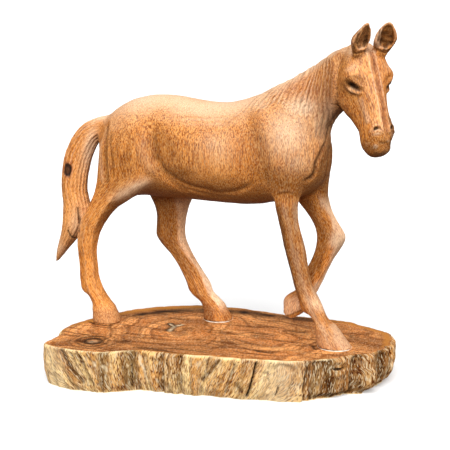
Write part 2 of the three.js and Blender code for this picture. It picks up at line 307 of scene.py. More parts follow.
class Tones(dict[str, np.ndarray]):
    """The tones that are painted on a surface, by name, with one value for each of its points."""

    def __init__(self, size: int, *names: str) -> None:
        """Starts every tone at 0."""
        super().__init__((name, np.zeros(size)) for name in names)

    def deepen(self, chosen: np.ndarray | slice = slice(None), **least: np.ndarray) -> None:
        """Raises tones where they are lower than the values given.

        Args:
            chosen: Which points, or all of them.
            **least: The least values of those points, by the tone's name.
        """
        for name, values in least.items():
            self[name][chosen] = np.maximum(self[name][chosen], values)


# Finishes


@dataclass(frozen=True)
class Layer:
    """A tone that is laid over the ground colour of a wood.

    Attributes:
        source: The noise that it follows, or else the painted attribute of that name.
        tone: Its colour.
        share: How strongly it is laid on.
        low: The value of its source at which it starts.
        high: The value of its source at which it is full.
        blend: How it is laid on.
    """

    source: str
    tone: str
    share: float = 1.0
    low: float = 0.0
    high: float = 1.0
    blend: Blend = Blend.MIX


@dataclass(frozen=True)
class Finish:
    """What every finish shares: a material with one shader that reads Object coordinates."""

    title: str = "finish"

    def begin(self) -> tuple[Material, Node, NodeSocket]:
        """Starts the material.

        Returns:
            The material, its shader node and its coordinates.
        """
        material = bpy.data.materials.new(self.title)
        material.use_nodes = True
        tree = material.node_tree
        shader = tree.nodes["Principled BSDF"]
        coordinates = add_node(tree, "ShaderNodeTexCoord").outputs["Object"]
        return material, shader, coordinates

    def noises(
        self, tree: NodeTree, rows: Sequence[tuple[str, NodeSocket, float, float]]
    ) -> dict[str, NodeSocket]:
        """Adds noises that all differ.

        Args:
            tree: The material's node tree.
            rows: For each noise its name, its coordinates, its size in millimetres and its detail.

        Returns:
            The noises by name.
        """
        return {
            name: add_node(
                tree, "ShaderNodeTexNoise", {"noise_dimensions": "4D"},
                Vector=vector, W=float(seed), Scale=per_mm(size), Detail=detail,
            ).outputs[0]
            for seed, (name, vector, size, detail) in enumerate(rows)
        }

    def layered(
        self, tree: NodeTree, ground: str, noise: dict[str, NodeSocket], layers: Sequence[Layer]
    ) -> NodeSocket:
        """Lays tones over a ground colour.

        Args:
            tree: The material's node tree.
            ground: The ground colour.
            noise: The noises that a layer may follow, by name.
            layers: The layers in order.

        Returns:
            The colour.
        """
        colour: object = linear(ground)
        for layer in layers:
            if layer.source in noise:
                source, curve = noise[layer.source], "SMOOTHSTEP"
            else:
                painted = {"attribute_name": layer.source}
                source, curve = add_node(tree, "ShaderNodeAttribute", painted).outputs["Fac"], "LINEAR"
            amount = add_node(
                tree, "ShaderNodeMapRange", {"interpolation_type": curve},
                Value=source, From_Min=layer.low, From_Max=layer.high, To_Max=layer.share,
            ).outputs[0]
            colour = add_node(
                tree, "ShaderNodeMixRGB", {"blend_type": layer.blend.value},
                Fac=amount, Color1=colour, Color2=linear(layer.tone),
            ).outputs[0]
        return colour

    def roughen(self, shader: Node, noise: NodeSocket, low: float, high: float) -> None:
        """Lets the roughness of a shader follow a noise between two values."""
        tree = shader.id_data
        rough = add_node(
            tree, "ShaderNodeMapRange", Value=noise, From_Min=0.3, From_Max=0.7, To_Min=low, To_Max=high
        )
        tree.links.new(rough.outputs[0], shader.inputs["Roughness"])

    def emboss(self, shader: Node, height: NodeSocket, strength: float, depth: float) -> None:
        """Gives a shader a fine relief of so many millimetres, with a height to follow and its strength."""
        tree = shader.id_data
        bump = add_node(tree, "ShaderNodeBump", Height=height, Strength=strength, Distance=depth * MM)
        tree.links.new(bump.outputs[0], shader.inputs["Normal"])


@dataclass(frozen=True)
class CarvedHardwood(Finish):
    """Open-pored tropical hardwood, cut with gouges and rubbed with oil.

    To the eye it is a satin golden brown, full of fine dashes along the grain: dark where pores are cut
    open, and pale dashes that are painted glints. Creases, hollows and faces turned from the light are
    painted in shade, and ridges, tops and lit faces are painted pale as highlight.
    """

    title: str = "oiled_carved_hardwood"
    honey: str = "#e89b4e"
    amber: str = "#d58130"
    chestnut: str = "#9a5018"
    straw: str = "#f1cfac"
    # a warm painted highlight, laid where the horse is lit
    glow: str = "#f0a050"
    russet: str = "#b0643a"
    umber: str = "#7c4410"
    pore: str = "#985010"
    # the pale dashes screened over the wood as painted glints
    tick: str = "#8e7654"
    crease: str = "#2c170a"
    knot: str = "#171210"
    figure_size: float = 15.0
    streak_size: float = 1.0
    pore_size: float = 0.52  # real pores are finer, and are drawn as coarse as they show
    tick_size: float = 0.5

    def make(self) -> Material:
        """Makes the material, with its grain and tones read from the painted attributes of the horse."""
        material, shader, _ = self.begin()
        tree = material.node_tree
        along = add_node(tree, "ShaderNodeAttribute", {"attribute_name": "grain"}).outputs["Vector"]
        grain, dash = (
            add_node(tree, "ShaderNodeMapping", Vector=along, Scale=(1.0, 1.0, squeeze)).outputs[0]
            for squeeze in (0.1, 0.2)
        )
        noise = self.noises(tree, (
            ("figure", grain, self.figure_size, 4.0),
            ("streak", grain, self.streak_size, 3.0),
            ("pores", dash, self.pore_size, 0.0),
            ("ticks", dash, self.tick_size, 0.0),
        ))
        # the warm and pale highlights, the shade and the deep shade in creases are painted light and shade
        layers = (
            Layer("figure", self.amber, 0.85, 0.36, 0.64),
            Layer("streak", self.chestnut, 1.0, 0.47, 0.6),
            Layer("glow", self.glow),
            # painted highlight on the back's top, the ridges and the lit faces, and the paler hooves
            Layer("bleach", self.straw),
            Layer("rust", self.russet),
            Layer("shade", self.umber),
            Layer("pores", self.pore, 0.55, 0.49, 0.61, Blend.MULTIPLY),
            # painted highlight laid again over the pores
            Layer("bleach", self.straw, 0.25, 0.3),
            # pale ticks screened on as painted glints
            Layer("ticks", self.tick, 0.6, 0.49, 0.6, Blend.SCREEN),
            # deep painted shade in creases, hollows and the faces turned furthest from the light
            Layer("stain", self.crease),
            # black for the tail's knot and the eye's slit, and painted shade in the nostrils, the mouth's
            # corner and the tail's split
            Layer("char", self.knot),
        )
        tree.links.new(self.layered(tree, self.honey, noise, layers), shader.inputs["Base Color"])
        self.roughen(shader, noise["streak"], 0.36, 0.5)
        relief = add_node(
            tree, "ShaderNodeMath", {"operation": "SUBTRACT"}, in0=noise["ticks"], in1=noise["pores"]
        ).outputs[0]
        self.emboss(shader, relief, 0.4, 0.5)
        shader.inputs["Specular IOR Level"].default_value = 0.08
        return material


@dataclass(frozen=True)
class PolishedHeartwood(Finish):
    """Sanded and oiled top of the slab.

    To the eye it is red-brown heartwood with dark wavy rings round the pith and the knots, and a pale
    yellow band of sapwood along the rim.
    """

    title: str = "polished_heartwood"
    orange: str = "#f4a660"
    red: str = "#b4642a"
    brown: str = "#9a6234"
    line: str = "#56290a"
    glint: str = "#94785c"
    flame: str = "#e0a868"
    sapwood: str = "#b07230"
    # dark for scars, cracks and knots, and for a painted shadow by a hoof
    scar: str = "#22140c"
    pale: str = "#d8c9a6"
    band_span: float = 30.0
    line_span: float = 15.0
    ring_span: float = 5.5
    ring_swing: float = 7.0  # how far the rings waver, in radians

    def make(self) -> Material:
        """Makes the material, with its figure read from the painted attributes of the slab."""
        material, shader, coordinates = self.begin()
        tree = material.node_tree
        # the top is seen at a low angle, so its specks are drawn long across the slab
        grain, specks = (
            add_node(tree, "ShaderNodeMapping", Vector=coordinates, Scale=squeeze).outputs[0]
            for squeeze in ((0.14, 1.0, 1.0), (1.0, 0.35, 1.0))
        )
        figure = add_node(tree, "ShaderNodeAttribute", {"attribute_name": "figure"}).outputs["Fac"]
        noise = self.noises(tree, (
            ("patches", coordinates, 40.0, 3.0),
            ("fibre", grain, 5.0, 3.0),
            ("ruffle", grain, 11.0, 3.0),
            ("specks", specks, 0.9, 3.0),
            ("pores", specks, 0.9, 3.0),
            ("flames", grain, 6.0, 3.0),
        ))
        swing = add_node(
            tree, "ShaderNodeMath", {"operation": "MULTIPLY"}, in0=noise["ruffle"], in1=self.ring_swing
        ).outputs[0]
        for name, span in (("bands", self.band_span), ("lines", self.line_span), ("rings", self.ring_span)):
            turn = add_node(
                tree, "ShaderNodeMath", {"operation": "MULTIPLY_ADD"},
                in0=figure, in1=LiveEdgeSlab.figure_scale * math.tau / span, in2=swing,
            ).outputs[0]
            noise[name] = add_node(tree, "ShaderNodeMath", {"operation": "SINE"}, in0=turn).outputs[0]
        layers = (
            Layer("bands", self.red, 0.6, -1.0),
            Layer("flames", self.flame, 0.55, 0.52, 0.7),
            Layer("rings", self.red, 0.6),
            Layer("patches", self.brown, 0.6, 0.44, 0.66),
            Layer("dusk", self.brown),
            Layer("lines", self.line, 0.5, 0.5),
            Layer("fibre", self.line, 0.65, 0.52, 0.64),
            Layer("pores", self.line, 0.6, 0.5, 0.6),
            Layer("specks", self.glint, 0.7, 0.52, 0.62, Blend.SCREEN),
            Layer("sap", self.sapwood),
            Layer("scar", self.scar),
            Layer("pale", self.pale),
        )
        tree.links.new(self.layered(tree, self.orange, noise, layers), shader.inputs["Base Color"])
        self.roughen(shader, noise["fibre"], 0.5, 0.65)
        self.emboss(shader, noise["fibre"], 0.25, 0.4)
        shader.inputs["Specular IOR Level"].default_value = 0.05
        return material


@dataclass(frozen=True)
class LiveEdge(Finish):
    """The tree's own outside with its bark stripped, dry and raw.

    To the eye it is matt straw-coloured fibre that runs up and down, with grey-brown weathering, dark
    inner bark left in the flutes, and painted shade in its hollows and deepest valleys.
    """

    title: str = "stripped_live_edge"
    straw: str = "#ffd894"
    ochre: str = "#eaaa5e"
    grey: str = "#a66c36"
    thread: str = "#7c460e"
    bark: str = "#4e2a0a"
    split: str = "#150d08"
    chalk: str = "#f6e0b8"
    sapwood: str = "#f2d9a8"

    def make(self) -> Material:
        """Makes the material, with its fibre and tones read from the painted attributes of the slab."""
        material, shader, _ = self.begin()
        tree = material.node_tree
        along = add_node(tree, "ShaderNodeAttribute", {"attribute_name": "grain"}).outputs["Vector"]
        fall = add_node(tree, "ShaderNodeMapping", Vector=along, Scale=(1.0, 0.14, 1.0)).outputs[0]
        noise = self.noises(tree, (
            ("patches", fall, 11.0, 3.0),
            ("fibre", fall, 0.55, 1.0),
            ("bands", fall, 2.6, 2.0),
            ("gleam", fall, 0.7, 1.0),
        ))
        layers = (
            Layer("patches", self.ochre, 0.9, 0.38, 0.62),
            Layer("weather", self.grey),
            # inner bark in the flutes, and painted shade in the hollows and valleys
            Layer("flute", self.bark),
            Layer("bands", self.grey, 0.55, 0.5, 0.66),
            Layer("fibre", self.thread, 0.92, 0.49, 0.6, Blend.MULTIPLY),
            Layer("gleam", self.chalk, 0.5, 0.53, 0.64),
            Layer("chalk", self.chalk),
            Layer("sap", self.sapwood),
            Layer("scar", self.split),
        )
        tree.links.new(self.layered(tree, self.straw, noise, layers), shader.inputs["Base Color"])
        self.emboss(shader, noise["fibre"], 0.7, 1.0)
        shader.inputs["Roughness"].default_value = 0.82
        shader.inputs["Specular IOR Level"].default_value = 0.05
        return material


@dataclass(frozen=True)
class SawnUnderside(Finish):
    """The slab's underside as the saw left it: dull brown, with straight saw marks across the grain."""

    title: str = "sawn_underside"
    wood: str = "#b98451"
    mark: str = "#8d6037"
    saw_pitch: float = 3.0

    def make(self) -> Material:
        """Makes the material."""
        material, shader, coordinates = self.begin()
        tree = material.node_tree
        marks = add_node(
            tree, "ShaderNodeTexWave", Vector=coordinates, Scale=per_mm(self.saw_pitch) / 20.0 * math.pi,
            Distortion=1.5, Detail=2.0, Detail_Scale=1.5,
        ).outputs["Fac"]
        shallow = add_node(tree, "ShaderNodeMapRange", Value=marks, To_Max=0.6).outputs[0]
        colour = add_node(
            tree, "ShaderNodeMixRGB", Fac=shallow, Color1=linear(self.wood), Color2=linear(self.mark)
        ).outputs[0]
        tree.links.new(colour, shader.inputs["Base Color"])
        shader.inputs["Roughness"].default_value = 0.8
        self.emboss(shader, marks, 0.4, 0.4)
        return material


@dataclass(frozen=True)
class DriedGlue(Finish):
    """White wood glue that was squeezed out under a hoof: a dull off-white bead with dust on it."""

    title: str = "dried_wood_glue"
    white: str = "#dcd2c2"
    dust: str = "#a98c6c"
    dust_size: float = 3.0

    def make(self) -> Material:
        """Makes the material."""
        material, shader, coordinates = self.begin()
        tree = material.node_tree
        dust = add_node(
            tree, "ShaderNodeTexNoise", Vector=coordinates, Scale=per_mm(self.dust_size), Detail=2.0
        ).outputs[0]
        amount = add_node(tree, "ShaderNodeMapRange", Value=dust, From_Min=0.45, From_Max=0.75).outputs[0]
        colour = add_node(
            tree, "ShaderNodeMixRGB", Fac=amount, Color1=linear(self.white), Color2=linear(self.dust)
        ).outputs[0]
        tree.links.new(colour, shader.inputs["Base Color"])
        shader.inputs["Roughness"].default_value = 0.55
        return material


@dataclass(frozen=True)
class StudioPaper(Finish):
    """Matt white paper under the sculpture."""

    title: str = "studio_paper"
    white: str = "#f7f7f7"

    def make(self) -> Material:
        """Makes the material."""
        material, shader, _ = self.begin()
        shader.inputs["Base Color"].default_value = linear(self.white)
        shader.inputs["Roughness"].default_value = 1.0
        shader.inputs["Specular IOR Level"].default_value = 0.0
        return material


# The horse


@dataclass(frozen=True)
class Groove:
    """A line cut into one side of the horse, or a soft valley where it is wide.

    Attributes:
        run: Where it runs, as x and z, or as x, y and z where it crosses the breast.
        depth: How deep it is, or how far a ridge stands out where negative.
        half_width: How far from its middle it has mostly run out.
        stain: How much painted shade darkens a cut line's bottom, from 0 to 1.
        shade: How much painted shade darkens a soft valley, from 0 to 1.
        hind: Whether it belongs to the hind leg, which stands further forward on the far side.
        pale: How much painted highlight a ridge gets, from 0 to 1.
    """

    run: Run
    depth: float
    half_width: float
    stain: float = 0.0
    shade: float = 0.0
    hind: bool = False
    pale: float = 0.0


@dataclass(frozen=True)
class Muscle:
    """A swelling on both sides of the body: its middle and half sizes in x and z, and how high it stands."""

    middle: Pair
    half_size: Pair
    rise: float
    hind: bool = False


@dataclass(frozen=True)
class Lump:
    """A small round swelling, or a hollow where its rise is negative."""

    middle: Point
    radius: float
    rise: float


@dataclass(frozen=True)
class Patch:
    """A patch of painted shade or painted highlight on each side of the body.

    Attributes:
        tone: The attribute that it is painted in.
        middle: Its middle, as x and z.
        half_size: How far it has mostly run out along x and z.
        share: How strongly it is painted.
        lean: How far it moves along x for each step up.
        streaked: How far it is broken into upright streaks, from 0 to 1.
    """

    tone: str
    middle: Pair
    half_size: Pair
    share: float
    lean: float = 0.0
    streaked: float = 0.0


@dataclass(frozen=True)
class Leg:
    """A leg's middle line.

    Attributes:
        line: Its middle from the body down to the sole, as x and z.
        side: The side of the horse that it is on.
        half_depth: Half its depth from front to rear.
    """

    line: Run
    side: Side
    half_depth: float = 9.5

    def place(self, points: np.ndarray) -> tuple[np.ndarray, np.ndarray, np.ndarray]:
        """Where points lie on the leg.

        Args:
            points: Rows of x, y and z.

        Returns:
            How far each point belongs to the leg, where it lies between its rear at -1 and its front at 1,
            and how far the leg's middle has moved along x since it left the body.
        """
        xs, heights = np.array(self.line)[::-1].T
        middle = np.interp(points[:, 2], heights, xs)
        off = points[:, 0] - middle
        mine = ramp(27, 19, np.abs(off)) * ramp(-1, 4, points[:, 1] * self.side.value)
        mine *= ramp(heights[-1] + 3, heights[-1] - 9, points[:, 2])
        return mine, off / self.half_depth, middle - xs[-1]


@dataclass(frozen=True)
class Ear:
    """An ear.

    Attributes:
        side: The side of the head that it is on.
        lean: How far its tip leans to the viewer's right.
        spread: How far its right edge is spread, or its left one where negative.
        bowl: How far right of its middle its hollow lies, and the hollow's half width.
    """

    side: Side
    lean: float
    spread: float
    bowl: Pair


@dataclass(frozen=True)
class HeadFrame:
    """The head's own frame: it hangs from the poll along -z, with its face on +x."""

    poll: Point = (130.5, -16.0, 264.5)
    turn: float = -46.0
    pitch: float = 24.0

    def axes(self) -> np.ndarray:
        """The head's axes as columns."""
        turn = Matrix.Rotation(math.radians(self.turn), 3, "Z")
        return np.array(turn @ Matrix.Rotation(math.radians(-self.pitch), 3, "Y"))

    def local(self, points: np.ndarray) -> np.ndarray:
        """The points in the head's own frame."""
        return (points - np.array(self.poll)) @ self.axes()

    def world(self, place: Sequence[float]) -> np.ndarray:
        """A place in the head's own frame as a point of the horse's frame."""
        return self.axes() @ np.array(place) + np.array(self.poll)


@dataclass
class CarvedHorse:
    """The horse, walking with its head turned to the near side."""

    name: str = "carved_horse"
    node: str = "horse"
    slot: str = "carved_wood"
    voxel: float = 0.92
    face_limit: int = 196000
    far_hind_shift: float = 9.0  # how much further forward the far hind leg stands than the near one
    head: HeadFrame = HeadFrame()

    # each cut is painted with deep shade, each soft valley with shade and each ridge with highlight, as
    # listed
    grooves = (
        # the front edge of the thigh, and the fold where the flank turns under the belly
        Groove(((-61, 206), (-59.5, 192), (-57, 178), (-54, 162), (-47, 148.5), (-37, 140.5), (-26, 136)),
               3.4, 7.0, shade=0.5, hind=True),
        Groove(((-70, 188), (-68, 174), (-65, 160), (-59, 149), (-50, 142)), -1.8, 6.0, hind=True, pale=0.2),
        Groove(((-54, 160), (-46.5, 147), (-31, 138), (-19, 135), (-3.5, 131.5), (8, 132), (20, 135),
                (30, 141), (39, 148)), 1.1, 2.6, stain=0.05, shade=0.5, hind=True),
        Groove(((-53, 151), (-44.5, 140), (-32, 133.5), (-19, 130.5), (-6.5, 128), (6.5, 127.5),
                (20, 129.5)), 0.75, 1.9, stain=0.07, shade=0.35, hind=True),
        Groove(((-50, 143), (-40, 134), (-26, 128.5)), 0.5, 1.5, stain=0.07, hind=True),
        Groove(((-44, 146), (-28, 140), (-6, 136), (14, 139), (32, 151)), 0.6, 7.0, shade=0.5, hind=True),
        # the painted highlight along the edge of the thigh under the haunch, and the lines down the buttock
        Groove(((-107, 112), (-98, 119), (-86, 126.5), (-74, 133.5), (-64, 139), (-55, 144)),
               -1.8, 6.0, hind=True, pale=0.7),
        Groove(((-109, 192), (-109, 183.5), (-107.5, 173), (-106.5, 163), (-106, 151), (-105.5, 139),
                (-104, 129)), 1.3, 2.2, stain=0.3, shade=0.45, hind=True),
        Groove(((-103, 184), (-100, 168), (-98.5, 152), (-97.5, 138)), 0.6, 1.2, stain=0.35, hind=True),
        Groove(((-114, 176), (-113, 164), (-111.5, 146), (-109.5, 131)), -0.7, 2.6, hind=True, pale=0.3),
        # the valley behind the shoulder, the crease in front of it and the breast's lines
        Groove(((20, 214), (28, 202), (35, 188), (40, 174), (44, 161), (50, 147), (59, 138)),
               2.7, 7.0, shade=0.5),
        Groove(((106, -12, 211), (100.5, -8, 200), (95.5, -7, 190), (93, -9, 180), (91.5, -16, 173),
                (88, -20.5, 164), (86.8, -20.5, 156.5), (85, -20.5, 151.5), (80, -22, 148),
                (75, -25, 145.5)), 2.2, 1.9, stain=0.6, shade=0.6),
        Groove(((94.5, -1, 176), (94.5, -5, 166), (93.5, -6, 155), (89, -4, 143)),
               1.2, 1.4, stain=0.6, shade=0.4),
        Groove(((92.5, -15, 166), (90.5, -15, 157), (87, -14, 148)), 0.8, 1.2, stain=0.5, shade=0.3),
        # the step where the fore leg leaves the body, and faint lines along the back
        Groove(((54, 130), (57, 134), (61, 136), (66, 136.5), (70.5, 135), (73, 131)), 0.5, 1.4, stain=0.15),
        Groove(((57, 137), (62, 139), (67, 139.2), (72, 137.5)), -0.4, 1.4, pale=0.25),
        Groove(((-40, 196), (-12, 197.5), (14, 199.5)), 0.15, 1.1, stain=0.08),
        Groove(((-34, 192.5), (-10, 193.5), (16, 195)), 0.12, 1.0, stain=0.06),
    )
    muscles = (
        Muscle((72, 176), (17, 28), 3.0),  # shoulder
        Muscle((-82, 168), (20, 26), 1.6, True),  # haunch
        Muscle((-66, 143), (12, 12), 0.9, True),  # stifle
        Muscle((-4, 166), (28, 22), 1.6),  # ribs
    )
    lumps = (
        Lump((-139.0, -21.0, 31.0), 4.5, 1.6),  # spurs behind the fetlocks
        Lump((-46.0, 21.0, 26.0), 4.5, 1.4),
        Lump((80.0, -21.0, 33.0), 5.0, 2.2),
        Lump((-132.0, -21.0, 22.5), 5.0, -4.0),  # the near hind leg under its spur, and its front
        Lump((-109.0, -21.0, 27.0), 8.0, -3.2),
        Lump((-115.0, -21.0, 44.0), 11.0, -2.0),
        Lump((-119.0, -21.0, 64.0), 10.0, -1.6),
        Lump((-97.0, -21.0, 15.0), 4.0, 0.8),
        Lump((-22.0, 21.0, 26.0), 6.0, -1.8),  # the far hind pastern's front
        Lump((89.0, -21.0, 22.5), 8.0, -4.6),  # the near fore pastern
        Lump((105.0, -21.0, 24.0), 6.0, -2.0),
        Lump((97.0, -26.0, 36.0), 7.0, 1.0),
        Lump((57.0, 21.0, 35.0), 7.0, -3.0),  # above the lifted hoof
    )
    head_lumps = (
        Lump((-17.0, -9.0, -80.0), 10.0, 3.2),  # lower lip on the near side
        Lump((-8.0, 9.0, -84.0), 7.0, -0.8),
        Lump((-8.0, 20.0, -33.0), 6.0, 2.4),  # far brow
        Lump((6.0, -17.0, 3.0), 9.0, 0.8),  # rim of the near ear
        Lump((-4.0, -17.0, -24.0), 8.0, 0.7),  # near brow
    )

    # painted shade where the body turns from the light, and painted highlight where it is lit
    patches = (
        Patch("shade", (-92, 168), (20, 24), 0.65, streaked=0.75),  # haunch
        Patch("shade", (-88, 146), (16, 10), 0.35, streaked=0.3),
        Patch("shade", (-92, 131), (14, 8), 0.4),
        Patch("shade", (-40, 166), (10, 26), 0.7, lean=-0.5, streaked=0.4),  # in front of the thigh
        Patch("shade", (-16, 164), (16, 14), 0.35, streaked=0.9),
        Patch("shade", (-34, 147), (18, 11), 0.95, streaked=0.2),
        Patch("shade", (48, 150), (12, 19), 0.95, lean=-0.4, streaked=0.2),  # behind the shoulder
        Patch("shade", (64, 143), (22, 13), 0.95),  # elbow
        Patch("bleach", (97, 208), (7, 16), 0.6),  # throat
        Patch("bleach", (66, 190), (22, 26), 0.6),  # shoulder
        Patch("bleach", (76, 211), (20, 11), 0.75),
        Patch("bleach", (90, 198), (8, 20), 0.5),
        Patch("bleach", (74, 165), (14, 12), 0.4),
        Patch("bleach", (4, 176), (20, 16), 0.42, streaked=0.3),  # ribs
        Patch("glow", (2, 152), (18, 16), 0.7, streaked=0.4),
        Patch("glow", (-136, 148), (9, 36), 0.95, lean=0.2),  # the front of the tail
        Patch("glow", (-146, 98), (12, 34), 0.95, lean=0.2),
        Patch("bleach", (-133, 160), (6, 22), 0.8, lean=0.2),
        Patch("bleach", (-143, 92), (8, 20), 0.45, lean=0.2),
        Patch("bleach", (-163, 66), (8, 12), 0.4),
        Patch("glow", (-62, 139), (10, 7), 0.8),  # stifle
        Patch("shade", (106, 256), (12, 12), 0.55),  # the crest behind the ears
    )

    near_fore = Leg(((62, 132), (62, 118), (66, 104), (70.5, 85), (74.5, 68), (79, 51.5), (86, 37),
                     (93, 24), (99.5, 16), (108, 0)), Side.NEAR)
    far_fore = Leg(((74, 130), (79, 115), (86, 103), (92, 91.5), (90.5, 81), (85, 69), (79, 56.5),
                    (72.5, 44.5), (65.5, 34.5), (60, 26.5), (56.5, 12)), Side.FAR)
    near_hind = Leg(((-88, 140), (-102.5, 123), (-115.5, 109.5), (-127.5, 92), (-131.5, 76), (-131, 57.5),
                     (-130, 40.5), (-126.5, 29), (-119, 20), (-116, 11), (-113.5, 0)), Side.NEAR)
    far_hind = Leg(((-68, 132), (-64, 121), (-63, 105), (-64.5, 90), (-64.5, 75.5), (-56, 63), (-45.5, 47),
                    (-38, 34.5), (-32, 24), (-25, 17.5), (-20.5, 11), (-17, 0)), Side.FAR)

    legs = (near_fore, far_fore, near_hind, far_hind)
    leg_across: float = 21.0  # how far the legs stand from the horse's middle
    leg_flats: int = 7
    leg_rear: float = -143.0  # the tail lies behind this x
    # the tops of the hooves: each one's middle as x and y, its height, its rise along x and how pale it is
    hoof_tops = ((101, -21, 16, 0.21, 0.3), (-114, -21, 11.5, 0.11, 0.2), (-19, 21, 11, 0.1, 0.0))
    # how far from the middle the crease on each side of the breast lies, as z and y
    breast_width: Run = (
        (145, 25), (150, 20.5), (164, 20.5), (173, 16), (180, 9), (190, 7), (200, 8), (211, 12), (230, 14),
    )

    # the face on its far side, in the head's own frame
    eye: Point = (-7.8, 16.3, -32.7)
    eye_line: Point = (5.1, -9.6, -9.0)  # from its rear corner to its front corner
    eye_reach: float = 14.1  # how long that line is
    eye_out: Point = (0.62, 0.78, 0.0)  # the way that it looks
    nostril: Point = (-2.0, 7.4, -71.5)
    mouth_corner: Pair = (-24.5, -66.5)
    # the lips and two lines inside the jaw: each one's run as x and z, its depth, half width and darkness
    face_lines = (
        (((-24.5, -66.5), (-19, -75), (-11, -80.5), (-5, -82)), 0.25, 0.9, 0.12),
        (((-36, -20), (-40, -32), (-37, -45), (-29.5, -58)), 0.7, 0.9, 0.5),
        (((-39, -21), (-42.5, -33), (-39.5, -46), (-32, -59)), 0.6, 0.8, 0.45),
    )
    # the edge between the plane of the face and the cheek, and the hollow behind it
    face_edge: Run = ((-8, 15.5, -42), (-8, 13, -55), (-6, 10.5, -67))
    cheek_hollow: Run = ((-13, 16.5, -42), (-13, 14, -55), (-11, 11.5, -67))
    ears = (Ear(Side.NEAR, 2.4, -1.6, (1.5, 5.0)), Ear(Side.FAR, 0.6, 2.0, (3.0, 4.2)))
    ear_root: Point = (-1.0, 10.5, -6.0)
    ear_tilt: float = 46.0
    ear_length: float = 27.0

    # the mane: the crest that it grows from, how it falls, how long it is and how fine its strands are
    crest: Run = ((26, 214), (42, 225), (55, 231), (70, 239.5), (86, 249), (103, 259.5), (117, 263))
    fall_angles: Pair = (48.0, 88.0)
    fall_lengths: Pair = (36.0, 100.0)
    strand_pitch: float = 2.7
    strand_relief: float = 1.1

    # the tail: its middle line as x and z, with its place across the horse and its half sizes
    tail_line: Run = (
        (-105, 186.5), (-121.5, 183), (-134.5, 175), (-144, 160.5), (-149.5, 142.5), (-150, 123.5),
        (-147, 108), (-148.5, 90), (-154.5, 77), (-162, 64), (-168, 53),
    )
    tail_across: tuple[float, ...] = (0, 0, -1, -3, -6, -9, -11, -12, -12, -12, -12)
    tail_depth: tuple[float, ...] = (10.5, 8.7, 11, 13.2, 13.2, 12.8, 13.1, 12.5, 9.6, 6.6, 3.4)
    tail_side: tuple[float, ...] = (8, 9, 10, 11, 11.5, 11.5, 11.5, 11, 9, 6, 2.5)
    tail_strands: int = 20
    tail_girth: float = 72.0
    tail_length: float = 175.0
    tail_relief: float = 1.5
    tail_knot: Pair = (-153.0, 141.5)
    tail_knot_size: Pair = (4.4, 6.4)
    tail_join: Run = ((-141.0, 106.0), (-140.0, 97.0), (-138.0, 86.0))  # where it meets the leg
    tail_split: Run = ((-151.5, 84.0), (-149.0, 77.5), (-145.0, 73.5))

    def build(self) -> Object:
        """Builds and dresses the horse.

        Returns:
            The finished piece.
        """
        piece = self.blank()
        surface = Surface(piece)
        self.tones = Tones(len(surface.points), "stain", "shade", "rust", "bleach", "glow", "char")
        self.rough_out(surface)
        self.grain = surface.points.copy()
        self.model_body(surface)
        self.cut_grooves(surface)
        self.comb_mane(surface)
        self.comb_tail(surface)
        self.carve_face(surface)
        self.carve_ears(surface)
        self.facet_legs(surface)
        self.cut_hooves(surface)
        self.tone_legs(surface)
        self.tone_body(surface)
        for name, values in self.tones.items():
            surface.paint(name, values)
        surface.paint_vector("grain", self.grain * MM)
        self.finish(piece)
        return piece

    def blank(self) -> Object:
        """Copies the solid, merges its loose triangles and remeshes it finely and evenly."""
        piece = bpy.data.objects.new(self.name, frame["nodes"][self.node].data.copy())
        bpy.context.scene.collection.objects.link(piece)
        activate(piece)
        bpy.ops.object.mode_set(mode="EDIT")
        bpy.ops.mesh.select_all(action="SELECT")
        bpy.ops.mesh.remove_doubles(threshold=0.01 * MM)
        bpy.ops.object.mode_set(mode="OBJECT")
        piece.data.remesh_voxel_size = self.voxel * MM
        piece.data.remesh_voxel_adaptivity = 0.0
        bpy.ops.object.voxel_remesh()
        return piece

    def in_head(self, points: np.ndarray) -> np.ndarray:
        """How far each point belongs to the head, from 0 to 1."""
        x, y, z = self.head.local(points).T
        back = ramp(-47, -41, x)
        sides = ramp(26, 22.5, np.abs(y))
        # the neck joins behind the cheeks, above the jaw
        neck = ramp(6, -3, z + 0.75 * (x + 4))
        return back * sides * np.maximum(neck, ramp(-14, -6, x))

    def rough_out(self, surface: Surface) -> None:
        """Sands the flats of the solid away: far on the body, less on legs, head, ears and hooves."""
        points = surface.points
        x, y, z = points.T
        leg = ramp(128, 104, z) * ramp(-150, -140, x)
        tail = ramp(-120, -130, x)
        neck = ramp(40, 64, x) * ramp(196, 216, z)
        head = self.in_head(points)
        local = self.head.local(points)
        ear = ramp(-4, 0, local[:, 2]) * ramp(-20, -12, local[:, 0])
        reach = np.full(len(points), 4.8)
        girth = np.full(len(points), 45.0)
        # each form, how far it is sanded and how round it is
        for mask, amount, radius in (
            (leg, 2.8, 9.0), (neck, 2.6, 30.0), (tail, 2.0, 11.0), (head, 1.4, 14.0), (ear, 0.85, 8.0)
        ):
            reach += mask * (amount - reach)
            girth += mask * (radius - girth)
        lifted = ramp(24, 18, np.hypot(x - 58, z - 16))
        lifted *= ramp(2, 6, y) * ramp(30, 24, z)
        for sharp in (lifted, ramp(3, 0.8, z)):
            reach += sharp * (0.9 - reach)
        surface.soften(4.0 * (reach / self.voxel) ** 2)
        # what sanding takes off a round form is given back
        surface.lift(0.5 * reach**2 / girth)

    def facing(self, surface: Surface, side: Side) -> np.ndarray:
        """How far each point lies on one side of the horse and faces that way."""
        across = surface.points[:, 1] * side.value
        return ramp(-2, 3, across) * ramp(-0.15, 0.2, surface.normals[:, 1] * side.value)

